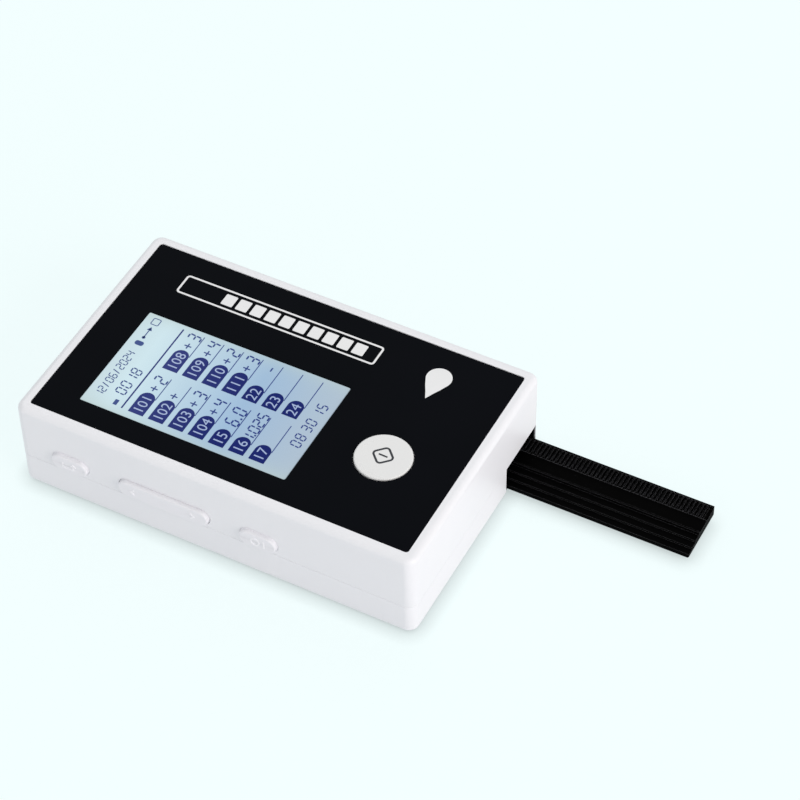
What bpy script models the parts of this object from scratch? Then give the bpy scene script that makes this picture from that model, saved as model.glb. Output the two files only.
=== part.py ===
"""Hand-held urine test strip analyzer with a motor-driven strip tray.

The housing is two moulded shells that meet at a seam.  A black panel, a display and a
round start button fill the top, three keys stand in the near side, and a toothed tray
slides out of the end.  Units are metres, +X is the tray's end, +Z is up, and the origin
is the middle of the flat underside.
"""

import math

import bmesh
import bpy
from mathutils import Matrix, Vector

# Housing
HOUSING_LENGTH = 0.1260
HOUSING_WIDTH = 0.0782
HOUSING_HEIGHT = 0.0300
WALL = 0.0020
CORNER_RADIUS = 0.0032
TOP_EDGE_RADIUS = 0.0017
BOTTOM_EDGE_RADIUS = 0.00145
SEAM_HEIGHT = 0.0108
SEAM_GAP = 0.00012
LIP_DEPTH = 0.0012
LIP_THICKNESS = 0.0009

# Clearances
SEAT_GAP = 0.0003
RUN_GAP = 0.0003
PRESS_MARGIN = 0.0001
BORE_CLEARANCE = 0.00006

# Front panel, display and main board
PANEL_MARGIN = 0.0033
PANEL_THICKNESS = 0.0007
PANEL_CORNER_RADIUS = 0.0009
PANEL_SINK = 0.0001
WINDOW_LENGTH = 0.0661
WINDOW_WIDTH = 0.0384
WINDOW_SHIFT = 0.0007
WINDOW_Y = -0.0090
WINDOW_CORNER_RADIUS = 0.0006
DISPLAY_SINK = 0.0002
DISPLAY_THICKNESS = 0.0027
DISPLAY_GAP = 0.0002
COVER_WINDOW_MARGIN = 0.0009
LCD_FRAME_RIM = 0.0022
LCD_FRAME_HEIGHT = 0.0042
LCD_FRAME_FLOOR = 0.0009
BACKLIGHT_THICKNESS = 0.0024
BOARD_THICKNESS = 0.0016
BOARD_END_MARGIN = 0.0030
BOARD_TRAY_END_MARGIN = 0.0110
BOARD_SIDE_MARGIN = 0.0086
BOARD_POST_RADIUS = 0.0019
BOARD_POST_INSET_X = 0.0040
BOARD_POST_INSET_Y = 0.0035
BOARD_POST_FRAME_GAP = 0.0012
BOARD_SCREW_RADIUS = 0.0008
BOARD_SCREW_HEAD_RADIUS = 0.0017
BOARD_SCREW_HEAD_HEIGHT = 0.0010
BOARD_SCREW_GRIP = 0.0030

# Start button
BUTTON_SHIFT = 0.0011
BUTTON_Y = -0.0087
BUTTON_RADIUS = 0.0083
BUTTON_PROUD = 0.0003
BUTTON_EDGE_RADIUS = 0.0004
BUTTON_SKIRT_WALL = 0.0012
BUTTON_FLANGE_WIDTH = 0.0014
BUTTON_FLANGE_THICKNESS = 0.0010
BUTTON_STEM_RADIUS = 0.0018
BUTTON_TRAVEL = 0.0006

# Side keys
KEY_HEIGHT = 0.0055
KEY_Z = 0.0148
KEY_LENGTH = 0.0117
ROCKER_LENGTH = 0.0290
KEY_END_MARGIN = 0.01155
RETURN_KEY_GAP = 0.01025
CONFIRM_KEY_GAP = 0.00985
KEY_PROUD = 0.0013
KEY_EDGE_RADIUS = 0.0005
KEY_TRAVEL = 0.0005
KEY_FLANGE_THICKNESS = 0.0010
KEY_FLANGE_WIDTH = 0.0010
ROCKER_PIVOT_DEPTH = 0.0014
ROCKER_PIN_RADIUS = 0.0008
ROCKER_PIN_RISE = 0.0010
ROCKER_TILT = math.radians(2.5)
ROCKER_ARM = 0.0105
LUG_THICKNESS = 0.0014
LUG_WIDTH = 0.0044
KEY_BOARD_DEPTH = 0.0046
KEY_BOARD_THICKNESS = 0.0012
KEY_BOARD_HEIGHT = 0.0080
KEY_BOARD_OVERHANG = 0.0012
KEY_RIB_THICKNESS = 0.0012

# Switches under the start button and the keys
SWITCH_SIDE = 0.0046
SWITCH_BODY = 0.0016
SWITCH_PLUNGER_RADIUS = 0.0012

# Strip tray, its rack and the guide in the end wall
TRAY_END_MARGIN = 0.0140
TRAY_REACH = 0.0560
TRAY_WIDTH = 0.0174
TRAY_SIDE_INSET = 0.0029
TRAY_BOTTOM = 0.0015
TRAY_HEIGHT = 0.0040
RACK_WIDTH = 0.0050
RACK_RIM = 0.0006
RACK_RIM_RISE = 0.0001
CHANNEL_WIDTH = 0.0050
CHANNEL_DEPTH = 0.0010
RIB_WIDTH = 0.0006
RIB_DROP = 0.0003
STEP_WIDTH = 0.0023
STEP_HEIGHT = 0.0006
TRAY_TIP_BEVEL = 0.0003
STRIP_STOP_LENGTH = 0.0030
LANE_FLOOR = 0.0012
LANE_SIDE_GAP = 0.0006
LANE_END_GAP = 0.0020
GUIDE_WALL = 0.0006
GUIDE_ROOF = 0.0008
GUIDE_LIP = 0.0009
GUIDE_BOTTOM = 0.0004
GUIDE_SINK = 0.0006
GUIDE_DEPTH = 0.0064
GUIDE_GAP = 0.0002

# Gear train: rack, rack pinion, compound reduction gear, motor gear
GEAR_MODULE = 0.0004
PRESSURE_ANGLE = math.radians(20.0)
BACKLASH = 0.00010
ADDENDUM = 0.90
DEDENDUM = 1.25
PINION_TEETH = 18
REDUCTION_PINION_TEETH = 14
REDUCTION_WHEEL_TEETH = 20
MOTOR_TEETH = 12
PINION_END_MARGIN = 0.0230
REDUCTION_RISE = 0.0025
GEAR_WIDTH = 0.0036
WHEEL_WIDTH = 0.0017
GEAR_EDGE_GAP = 0.0004
HUB_RADIUS = 0.0017
SHAFT_RADIUS = 0.0010
SHAFT_END = 0.0004
MOTOR_SHAFT_RADIUS = 0.0007
BRACKET_PLATE = 0.0012
BRACKET_ARM = 0.0014
BRACKET_LIFT = 0.0007
BRACKET_HEIGHT = 0.0086
BRACKET_FOOT = 0.0050
BRACKET_MARGIN = 0.0022
MOTOR_RADIUS = 0.0040
MOTOR_LENGTH = 0.0120
MOTOR_NECK_RADIUS = 0.0022
MOTOR_NECK_LENGTH = 0.0009
MOTOR_BORE_DEPTH = 0.0022

# Optical head over the tray, and its sensor board
HEAD_BRACKET_GAP = 0.0075
HEAD_LENGTH = 0.0220
HEAD_LIFT = 0.0011
HEAD_ARM = 0.0072
HEAD_LEG = 0.0050
HEAD_EDGE = 0.0008
HEAD_APERTURE_RADIUS = 0.0018
SENSOR_BOARD_THICKNESS = 0.0012
SENSOR_BOARD_MARGIN = 0.0015

# Battery, socket and buzzer
BATTERY_LENGTH = 0.0600
BATTERY_WIDTH = 0.0340
BATTERY_HEIGHT = 0.0072
BATTERY_EDGE_RADIUS = 0.0012
BATTERY_END_MARGIN = 0.0130
BATTERY_Y = -0.0110
FENCE_WALL = 0.0010
FENCE_HEIGHT = 0.0030
FENCE_GAP = 0.0004
FENCE_NOTCH = 0.0200
SOCKET_FRAME_GAP = 0.0008
SOCKET_WIDTH = 0.0076
SOCKET_HEIGHT = 0.0028
SOCKET_DEPTH = 0.0056
SOCKET_SHEET = 0.0003
SOCKET_TONGUE = 0.0006
SOCKET_SINK = 0.0004
BUZZER_INSET_X = 0.0180
BUZZER_INSET_Y = 0.0105
BUZZER_RADIUS = 0.0045
BUZZER_HEIGHT = 0.0038
BUZZER_HOLE_RADIUS = 0.0008

# Housing screws and feet
SCREW_INSET = 0.0052
SCREW_RADIUS = 0.0011
SCREW_HEAD_RADIUS = 0.0020
SCREW_HEAD_HEIGHT = 0.0012
SCREW_HEAD_SINK = 0.0035
SCREW_GRIP = 0.0050
SCREW_SLOT_WIDTH = 0.0006
SCREW_SLOT_DEPTH = 0.0005
BOSS_RADIUS = 0.0027
BOSS_HEAD_RADIUS = 0.0033
FOOT_RADIUS = 0.0040
FOOT_THICKNESS = 0.0009
FOOT_RECESS = 0.0005
FOOT_INSET_X = 0.0150
FOOT_INSET_Y = 0.0100
FOOT_CHAMFER = 0.0002

# Places that follow from the sizes above
HALF_LENGTH = HOUSING_LENGTH / 2
HALF_WIDTH = HOUSING_WIDTH / 2
PANEL_HALF_LENGTH = HALF_LENGTH - PANEL_MARGIN
PANEL_GAP = (2 * PANEL_HALF_LENGTH - WINDOW_LENGTH - 2 * BUTTON_RADIUS) / 3
WINDOW_X = -PANEL_HALF_LENGTH + PANEL_GAP + WINDOW_LENGTH / 2 - WINDOW_SHIFT
BUTTON_X = PANEL_HALF_LENGTH - PANEL_GAP - BUTTON_RADIUS - BUTTON_SHIFT
FRAME_END = WINDOW_X + WINDOW_LENGTH / 2 + LCD_FRAME_RIM
PANEL_TOP = HOUSING_HEIGHT - PANEL_SINK
PANEL_BOTTOM = PANEL_TOP - PANEL_THICKNESS
RECESS_FLOOR = PANEL_BOTTOM - SEAT_GAP
CEILING = RECESS_FLOOR - WALL
COVER_BOTTOM = SEAM_HEIGHT + SEAM_GAP
DISPLAY_TOP = PANEL_TOP - DISPLAY_SINK
DISPLAY_BOTTOM = DISPLAY_TOP - DISPLAY_THICKNESS
LCD_FRAME_TOP = min(CEILING, DISPLAY_BOTTOM) - SEAT_GAP
LCD_FRAME_BOTTOM = LCD_FRAME_TOP - LCD_FRAME_HEIGHT
BOARD_TOP = LCD_FRAME_BOTTOM - SEAT_GAP
BOARD_BOTTOM = BOARD_TOP - BOARD_THICKNESS
BOARD_LOW_X = -HALF_LENGTH + WALL + BOARD_END_MARGIN
BOARD_HIGH_X = HALF_LENGTH - WALL - BOARD_TRAY_END_MARGIN
BOARD_HALF_WIDTH = HALF_WIDTH - WALL - BOARD_SIDE_MARGIN
POST_LOW_X = BOARD_LOW_X + BOARD_POST_INSET_X
POST_HIGH_X = BOARD_HIGH_X - BOARD_POST_INSET_X
POST_Y = BOARD_HALF_WIDTH - BOARD_POST_INSET_Y
FRAME_POST_X = FRAME_END + BOARD_POST_FRAME_GAP + BOARD_POST_RADIUS
POST_PLACES = [
    (POST_LOW_X, POST_Y), (POST_HIGH_X, POST_Y), (FRAME_POST_X, -POST_Y), (POST_HIGH_X, -POST_Y)
]
BUTTON_TOP = HOUSING_HEIGHT + BUTTON_PROUD
BUTTON_FLANGE_TOP = CEILING - SEAT_GAP
BUTTON_FLANGE_BOTTOM = BUTTON_FLANGE_TOP - BUTTON_FLANGE_THICKNESS
RETURN_KEY_X = -HALF_LENGTH + KEY_END_MARGIN + KEY_LENGTH / 2
ROCKER_X = RETURN_KEY_X + KEY_LENGTH / 2 + RETURN_KEY_GAP + ROCKER_LENGTH / 2
CONFIRM_KEY_X = ROCKER_X + ROCKER_LENGTH / 2 + CONFIRM_KEY_GAP + KEY_LENGTH / 2
KEY_WALL = -HALF_WIDTH
KEY_INNER_WALL = KEY_WALL + WALL
KEY_BOARD_FRONT = KEY_INNER_WALL + KEY_BOARD_DEPTH
TRAY_LENGTH = HOUSING_LENGTH - TRAY_END_MARGIN
TRAY_FAR = HALF_WIDTH - TRAY_SIDE_INSET
TRAY_NEAR = TRAY_FAR - TRAY_WIDTH
TRAY_Y = (TRAY_FAR + TRAY_NEAR) / 2
TRAY_TOP = TRAY_BOTTOM + TRAY_HEIGHT
TRAY_TIP = HALF_LENGTH + TRAY_REACH
TRAY_TAIL = TRAY_TIP - TRAY_LENGTH
LANE_START = TRAY_TAIL - TRAY_REACH - LANE_END_GAP
RACK_PITCH_Z = TRAY_TOP - ADDENDUM * GEAR_MODULE
TOOTH_PITCH = math.pi * GEAR_MODULE
PINION_RADIUS = PINION_TEETH * GEAR_MODULE / 2
PINION_X = HALF_LENGTH - PINION_END_MARGIN
PINION_Z = RACK_PITCH_Z + PINION_RADIUS
FIRST_CENTRES = (PINION_TEETH + REDUCTION_PINION_TEETH) * GEAR_MODULE / 2
REDUCTION_X = PINION_X - math.sqrt(FIRST_CENTRES ** 2 - REDUCTION_RISE ** 2)
REDUCTION_Z = PINION_Z + REDUCTION_RISE
SECOND_CENTRES = (REDUCTION_WHEEL_TEETH + MOTOR_TEETH) * GEAR_MODULE / 2
MOTOR_X = REDUCTION_X - SECOND_CENTRES
MOTOR_Z = REDUCTION_Z
GEAR_FAR = TRAY_FAR - RACK_RIM - GEAR_EDGE_GAP
GEAR_NEAR = GEAR_FAR - GEAR_WIDTH
WHEEL_FAR = GEAR_NEAR - RUN_GAP
WHEEL_NEAR = WHEEL_FAR - WHEEL_WIDTH
PLATE_FAR = WHEEL_NEAR - RUN_GAP
PLATE_NEAR = PLATE_FAR - BRACKET_PLATE
BRACKET_LOW_X = MOTOR_X - MOTOR_RADIUS - BRACKET_MARGIN
BRACKET_HIGH_X = PINION_X + HUB_RADIUS + BRACKET_MARGIN
HEAD_X = BRACKET_LOW_X - HEAD_BRACKET_GAP - HEAD_LENGTH / 2
FLOOR_TOP = WALL + SEAT_GAP
BATTERY_X = -HALF_LENGTH + BATTERY_END_MARGIN + BATTERY_LENGTH / 2
FRAME_FAR = WINDOW_Y + WINDOW_WIDTH / 2 + LCD_FRAME_RIM
SOCKET_Y = FRAME_FAR + SOCKET_FRAME_GAP + SOCKET_WIDTH / 2
BUZZER_X = BOARD_LOW_X + BUZZER_INSET_X
BUZZER_Y = BOARD_HALF_WIDTH - BUZZER_INSET_Y
SCREW_PLACES = [
    (-HALF_LENGTH + SCREW_INSET, -HALF_WIDTH + SCREW_INSET),
    (HALF_LENGTH - SCREW_INSET, -HALF_WIDTH + SCREW_INSET),
    (-HALF_LENGTH + SCREW_INSET, HALF_WIDTH - SCREW_INSET),
    (HALF_LENGTH - SCREW_INSET, TRAY_NEAR - SCREW_INSET),
]
FOOT_PLACES = [
    (x * (HALF_LENGTH - FOOT_INSET_X), y * (HALF_WIDTH - FOOT_INSET_Y))
    for x in (-1, 1)
    for y in (-1, 1)
]

OVERSHOOT = 0.0010
SMOOTH_ANGLE = math.radians(35)
MERGE = 0.000002


# Scene, collections and materials

def clear_scene():
    for old in list(bpy.data.objects):
        bpy.data.objects.remove(old, do_unlink=True)


def new_collection(name):
    collection = bpy.data.collections.new(name)
    bpy.context.scene.collection.children.link(collection)
    return collection


def plastic(name, colour, roughness, metallic=0.0):
    made = bpy.data.materials.new(name)
    made.use_nodes = True
    shader = made.node_tree.nodes["Principled BSDF"]
    shader.inputs["Base Color"].default_value = (*colour, 1.0)
    shader.inputs["Roughness"].default_value = roughness
    shader.inputs["Metallic"].default_value = metallic
    made.diffuse_color = (*colour, 1.0)
    return made


clear_scene()
PARTS = new_collection("urine_analyzer")
CUTTERS = new_collection("cutters")

WHITE_SHELL = plastic("white_shell", (0.80, 0.80, 0.82), 0.35)
BLACK_PANEL = plastic("black_panel", (0.008, 0.008, 0.010), 0.25)
DISPLAY = plastic("display", (0.45, 0.66, 0.74), 0.15)
DIFFUSER = plastic("diffuser", (0.85, 0.88, 0.90), 0.50)
BUTTON_WHITE = plastic("button_white", (0.82, 0.82, 0.79), 0.40)
TRAY_BLACK = plastic("tray_black", (0.006, 0.006, 0.006), 0.45)
GEAR_WHITE = plastic("gear_white", (0.75, 0.74, 0.70), 0.45)
BOARD_GREEN = plastic("board_green", (0.02, 0.16, 0.07), 0.45)
STEEL = plastic("steel", (0.55, 0.55, 0.56), 0.30, 1.0)
BATTERY_FOIL = plastic("battery_foil", (0.42, 0.43, 0.45), 0.35, 0.6)
SWITCH_BLACK = plastic("switch_black", (0.03, 0.03, 0.03), 0.50)
FOOT_RUBBER = plastic("foot_rubber", (0.05, 0.05, 0.05), 0.85)


# Modelling helpers

def mesh_object(name, bm, material, location=(0, 0, 0), rotation=(0, 0, 0)):
    """Makes an object from bm: a part if it has a material, otherwise a cutter."""
    bmesh.ops.recalc_face_normals(bm, faces=bm.faces[:])
    mesh = bpy.data.meshes.new(name)
    bm.to_mesh(mesh)
    bm.free()
    made = bpy.data.objects.new(name, mesh)
    made.location = location
    made.rotation_euler = rotation
    if material is None:
        CUTTERS.objects.link(made)
        made.hide_render = True
        made.display_type = "WIRE"
    else:
        PARTS.objects.link(made)
        mesh.materials.append(material)
        mesh.shade_smooth()
        mesh.set_sharp_from_angle(angle=SMOOTH_ANGLE)
    return made


def level_edges(bm, z):
    return [e for e in bm.edges if all(abs(v.co.z - z) < MERGE for v in e.verts)]


def block_mesh(low, high, corner=0.0, top=0.0, bottom=0.0, segments=6):
    """A box between two corners, with rounded upright corners and rounded rims."""
    bm = bmesh.new()
    size = Vector(high) - Vector(low)
    centre = (Vector(high) + Vector(low)) / 2
    place = Matrix.Translation(centre) @ Matrix.Diagonal((*size, 1.0))
    bmesh.ops.create_cube(bm, size=1.0, matrix=place)
    if corner > 0:
        upright = [e for e in bm.edges if abs(e.verts[0].co.z - e.verts[1].co.z) > size.z / 2]
        bmesh.ops.bevel(bm, geom=upright, offset=corner, segments=segments, profile=0.5,
                        affect="EDGES")
    for radius, z in ((top, high[2]), (bottom, low[2])):
        if radius > 0:
            bmesh.ops.bevel(bm, geom=level_edges(bm, z), offset=radius, segments=4,
                            profile=0.5, affect="EDGES")
    return bm


def block(name, low, high, material=None, **rounding):
    return mesh_object(name, block_mesh(low, high, **rounding), material)


def rod(name, radius, low, high, axis="Z", material=None, sides=24):
    """A cylinder from the point low to the point high along one axis."""
    bm = bmesh.new()
    length = (Vector(high) - Vector(low)).length
    bmesh.ops.create_cone(bm, cap_ends=True, segments=sides, radius1=radius, radius2=radius,
                          depth=length)
    turn = {"X": (0, math.pi / 2, 0), "Y": (math.pi / 2, 0, 0), "Z": (0, 0, 0)}[axis]
    return mesh_object(name, bm, material, (Vector(low) + Vector(high)) / 2, turn)


def turned(name, profile, material, location, sides=40):
    """A turned solid from a profile that runs down its outer side."""
    mesh = bpy.data.meshes.new(name)
    points = [(radius, 0.0, height) for radius, height in profile]
    mesh.from_pydata(points, [(i, i + 1) for i in range(len(points) - 1)], [])
    mesh.materials.append(material)
    made = bpy.data.objects.new(name, mesh)
    made.location = location
    PARTS.objects.link(made)
    screw = made.modifiers.new("turn", "SCREW")
    screw.steps = sides
    screw.render_steps = sides
    screw.use_merge_vertices = True
    screw.merge_threshold = MERGE
    screw.use_smooth_shade = True
    return made


def outline_solid(name, loops, thickness, material, location, rotation=(0, 0, 0)):
    """A flat outline, with holes, made thick about its own middle plane."""
    curve = bpy.data.curves.new(name, "CURVE")
    curve.dimensions = "2D"
    curve.fill_mode = "BOTH"
    curve.extrude = thickness / 2
    for loop in loops:
        spline = curve.splines.new("POLY")
        spline.points.add(len(loop) - 1)
        for point, (x, y) in zip(spline.points, loop):
            point.co = (x, y, 0.0, 1.0)
        spline.use_cyclic_u = True
    drawn = bpy.data.objects.new(name + "_outline", curve)
    CUTTERS.objects.link(drawn)
    depsgraph = bpy.context.evaluated_depsgraph_get()
    filled = bpy.data.meshes.new_from_object(drawn.evaluated_get(depsgraph))
    bm = bmesh.new()
    bm.from_mesh(filled)
    bmesh.ops.remove_doubles(bm, verts=bm.verts[:], dist=MERGE)
    bpy.data.objects.remove(drawn, do_unlink=True)
    return mesh_object(name, bm, material, location, rotation)


def combine(target, tool, operation):
    step = target.modifiers.new(operation.lower() + "_" + tool.name, "BOOLEAN")
    step.operation = operation
    step.solver = "EXACT"
    step.object = tool


def cut(target, *tools):
    for tool in tools:
        combine(target, tool, "DIFFERENCE")


def add(target, *tools):
    for tool in tools:
        combine(target, tool, "UNION")


# Housing

def housing_block(name, inset, z_low, z_high, material=None, top=0.0, bottom=0.0):
    """The housing's plan outline, drawn in by inset, between two heights."""
    x = HALF_LENGTH - inset
    y = HALF_WIDTH - inset
    radius = max(CORNER_RADIUS - inset, 0.0004)
    return block(name, (-x, -y, z_low), (x, y, z_high), material, corner=radius, top=top,
                 bottom=bottom)


def slot_through(name, x, y, length, width, z_low, z_high, corner):
    """A cutter with a rounded rectangular plan, from z_low to z_high."""
    return block(name, (x - length / 2, y - width / 2, z_low),
                 (x + length / 2, y + width / 2, z_high), corner=corner, segments=3)


def key_slot(name, x, length):
    """The hole in the near wall that a side key passes through."""
    width = length + 2 * RUN_GAP
    height = KEY_HEIGHT + 2 * RUN_GAP
    bm = block_mesh((-width / 2, -height / 2, -WALL - OVERSHOOT),
                    (width / 2, height / 2, OVERSHOOT), corner=height / 2 - MERGE)
    return mesh_object(name, bm, None, (x, KEY_WALL, KEY_Z), (math.pi / 2, 0, 0))


def make_top_cover():
    """The upper shell: panel recess, openings, inner lip, bosses, posts and key lugs."""
    cover = housing_block("top_cover", 0.0, COVER_BOTTOM, HOUSING_HEIGHT, WHITE_SHELL,
                          top=TOP_EDGE_RADIUS)
    cavity = housing_block("cover_cavity", WALL, COVER_BOTTOM - OVERSHOOT, CEILING)
    cut(cover, cavity)

    lip = housing_block("cover_lip", WALL - LIP_THICKNESS, SEAM_HEIGHT - LIP_DEPTH,
                        COVER_BOTTOM + OVERSHOOT)
    lip_inside = housing_block("cover_lip_inside", WALL, SEAM_HEIGHT - LIP_DEPTH - OVERSHOOT,
                               COVER_BOTTOM + 2 * OVERSHOOT)
    mouth = block("cover_lip_mouth",
                  (HALF_LENGTH - GUIDE_DEPTH - OVERSHOOT, TRAY_NEAR - 2 * OVERSHOOT,
                   SEAM_HEIGHT - LIP_DEPTH - OVERSHOOT),
                  (HALF_LENGTH + OVERSHOOT, HALF_WIDTH + OVERSHOOT, COVER_BOTTOM))
    cut(lip, lip_inside, mouth)
    add(cover, lip)

    for number, (x, y) in enumerate(SCREW_PLACES, 1):
        boss = rod(f"cover_boss_{number}", BOSS_RADIUS, (x, y, COVER_BOTTOM + SEAT_GAP),
                   (x, y, CEILING + OVERSHOOT / 2))
        add(cover, boss)
    for number, (x, y) in enumerate(POST_PLACES, 1):
        post = rod(f"board_post_{number}", BOARD_POST_RADIUS, (x, y, BOARD_TOP + SEAT_GAP),
                   (x, y, CEILING + OVERSHOOT / 2), sides=16)
        add(cover, post)
    for number, x in enumerate(key_rib_places(), 1):
        rib = block(f"key_rib_{number}",
                    (x - KEY_RIB_THICKNESS / 2, KEY_WALL + WALL / 2, KEY_Z - KEY_HEIGHT / 2),
                    (x + KEY_RIB_THICKNESS / 2, KEY_BOARD_FRONT - SEAT_GAP,
                     KEY_Z + KEY_BOARD_HEIGHT / 2))
        add(cover, rib)
    for name, z_low in (("lug_low", KEY_Z - KEY_HEIGHT / 2 - RUN_GAP - LUG_THICKNESS),
                        ("lug_high", KEY_Z + KEY_HEIGHT / 2 + RUN_GAP)):
        lug = block(name, (ROCKER_X - LUG_WIDTH / 2, KEY_WALL + WALL / 2, z_low),
                    (ROCKER_X + LUG_WIDTH / 2, KEY_INNER_WALL + LUG_WIDTH / 2 + ROCKER_PIVOT_DEPTH,
                     z_low + LUG_THICKNESS))
        add(cover, lug)

    recess = slot_through("panel_recess", 0, 0,
                          2 * PANEL_HALF_LENGTH, HOUSING_WIDTH - 2 * PANEL_MARGIN,
                          RECESS_FLOOR, HOUSING_HEIGHT + OVERSHOOT, PANEL_CORNER_RADIUS)
    window = slot_through("cover_window", WINDOW_X, WINDOW_Y,
                          WINDOW_LENGTH + 2 * COVER_WINDOW_MARGIN,
                          WINDOW_WIDTH + 2 * COVER_WINDOW_MARGIN,
                          CEILING - OVERSHOOT, RECESS_FLOOR + OVERSHOOT, WINDOW_CORNER_RADIUS)
    button_hole = rod("cover_button_hole", BUTTON_RADIUS + RUN_GAP,
                      (BUTTON_X, BUTTON_Y, CEILING - OVERSHOOT),
                      (BUTTON_X, BUTTON_Y, RECESS_FLOOR + OVERSHOOT), sides=48)
    cut(cover, recess, window, button_hole)
    cut(cover, key_slot("return_key_slot", RETURN_KEY_X, KEY_LENGTH),
        key_slot("rocker_slot", ROCKER_X, ROCKER_LENGTH),
        key_slot("confirm_key_slot", CONFIRM_KEY_X, KEY_LENGTH))
    pin_hole = rod("rocker_pin_hole", ROCKER_PIN_RADIUS + RUN_GAP / 2,
                   (ROCKER_X, rocker_pivot_y(), KEY_Z - rocker_pin_half() - SEAT_GAP),
                   (ROCKER_X, rocker_pivot_y(), KEY_Z + rocker_pin_half() + SEAT_GAP), sides=16)
    cut(cover, pin_hole)
    for number, (x, y) in enumerate(SCREW_PLACES, 1):
        hole = rod(f"cover_screw_hole_{number}", SCREW_RADIUS + SEAT_GAP / 2,
                   (x, y, COVER_BOTTOM - OVERSHOOT), (x, y, COVER_BOTTOM + 2 * SCREW_GRIP),
                   sides=16)
        cut(cover, hole)
    for number, (x, y) in enumerate(POST_PLACES, 1):
        hole = rod(f"post_hole_{number}", BOARD_SCREW_RADIUS + SEAT_GAP / 2,
                   (x, y, BOARD_TOP - OVERSHOOT), (x, y, BOARD_TOP + BOARD_SCREW_GRIP + OVERSHOOT),
                   sides=12)
        cut(cover, hole)
    socket_low = BOARD_TOP + SEAT_GAP
    socket_hole = block("socket_hole",
                        (-HALF_LENGTH - OVERSHOOT, SOCKET_Y - SOCKET_WIDTH / 2 - SEAT_GAP,
                         socket_low - SEAT_GAP),
                        (-HALF_LENGTH + WALL + OVERSHOOT, SOCKET_Y + SOCKET_WIDTH / 2 + SEAT_GAP,
                         socket_low + SOCKET_HEIGHT + SEAT_GAP))
    cut(cover, socket_hole)
    return cover


def make_base_cover():
    """The lower shell: tray lane and mouth, screw bosses, battery fence, foot recesses."""
    base = housing_block("base_cover", 0.0, 0.0, SEAM_HEIGHT, WHITE_SHELL,
                         bottom=BOTTOM_EDGE_RADIUS)
    cavity = housing_block("base_cavity", WALL, WALL, SEAM_HEIGHT + OVERSHOOT)
    rebate = housing_block("base_rebate", WALL - LIP_THICKNESS - SEAM_GAP,
                           SEAM_HEIGHT - LIP_DEPTH - SEAM_GAP, SEAM_HEIGHT + OVERSHOOT)
    cut(base, cavity, rebate)

    for number, (x, y) in enumerate(SCREW_PLACES, 1):
        boss = rod(f"base_boss_{number}", BOSS_HEAD_RADIUS, (x, y, WALL / 2),
                   (x, y, SEAM_HEIGHT - LIP_DEPTH - SEAM_GAP))
        add(base, boss)
    fence_x = BATTERY_LENGTH / 2 + FENCE_GAP
    fence_y = BATTERY_WIDTH / 2 + FENCE_GAP
    fence = block("battery_fence",
                  (BATTERY_X - fence_x - FENCE_WALL, BATTERY_Y - fence_y - FENCE_WALL, WALL / 2),
                  (BATTERY_X + fence_x + FENCE_WALL, BATTERY_Y + fence_y + FENCE_WALL,
                   WALL + FENCE_HEIGHT), corner=BATTERY_EDGE_RADIUS, segments=3)
    inside = block("battery_fence_inside",
                   (BATTERY_X - fence_x, BATTERY_Y - fence_y, 0.0),
                   (BATTERY_X + fence_x, BATTERY_Y + fence_y, WALL + FENCE_HEIGHT + OVERSHOOT))
    notch_x = block("battery_fence_notch_x",
                    (BATTERY_X - HALF_LENGTH, BATTERY_Y - FENCE_NOTCH / 2, 0.0),
                    (BATTERY_X + HALF_LENGTH, BATTERY_Y + FENCE_NOTCH / 2,
                     WALL + FENCE_HEIGHT + OVERSHOOT))
    cut(fence, inside, notch_x)
    add(base, fence)

    lane = block("tray_lane", (LANE_START, TRAY_NEAR - LANE_SIDE_GAP, LANE_FLOOR),
                 (HALF_LENGTH - WALL / 2, TRAY_FAR + LANE_SIDE_GAP, SEAM_HEIGHT - LIP_DEPTH))
    side = GUIDE_WALL + RUN_GAP + GUIDE_GAP
    mouth = block("tray_mouth",
                  (HALF_LENGTH - WALL - GUIDE_GAP, TRAY_NEAR - side, -OVERSHOOT),
                  (HALF_LENGTH + OVERSHOOT, TRAY_FAR + side, SEAM_HEIGHT + OVERSHOOT))
    seat = block("guide_seat",
                 (HALF_LENGTH - GUIDE_SINK - GUIDE_DEPTH - GUIDE_GAP, TRAY_NEAR - side, LANE_FLOOR),
                 (HALF_LENGTH, TRAY_FAR + side, SEAM_HEIGHT + OVERSHOOT))
    cut(base, lane, mouth, seat)
    for number, (x, y) in enumerate(SCREW_PLACES, 1):
        bore = rod(f"base_screw_bore_{number}", SCREW_RADIUS + SEAT_GAP,
                   (x, y, -OVERSHOOT), (x, y, SEAM_HEIGHT + OVERSHOOT), sides=16)
        head = rod(f"base_screw_well_{number}", SCREW_HEAD_RADIUS + SEAT_GAP,
                   (x, y, -OVERSHOOT), (x, y, SCREW_HEAD_SINK + SCREW_HEAD_HEIGHT + SEAT_GAP),
                   sides=20)
        cut(base, bore, head)
    for number, (x, y) in enumerate(FOOT_PLACES, 1):
        recess = rod(f"foot_recess_{number}", FOOT_RADIUS + SEAT_GAP, (x, y, -OVERSHOOT),
                     (x, y, FOOT_RECESS))
        cut(base, recess)
    return base


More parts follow.
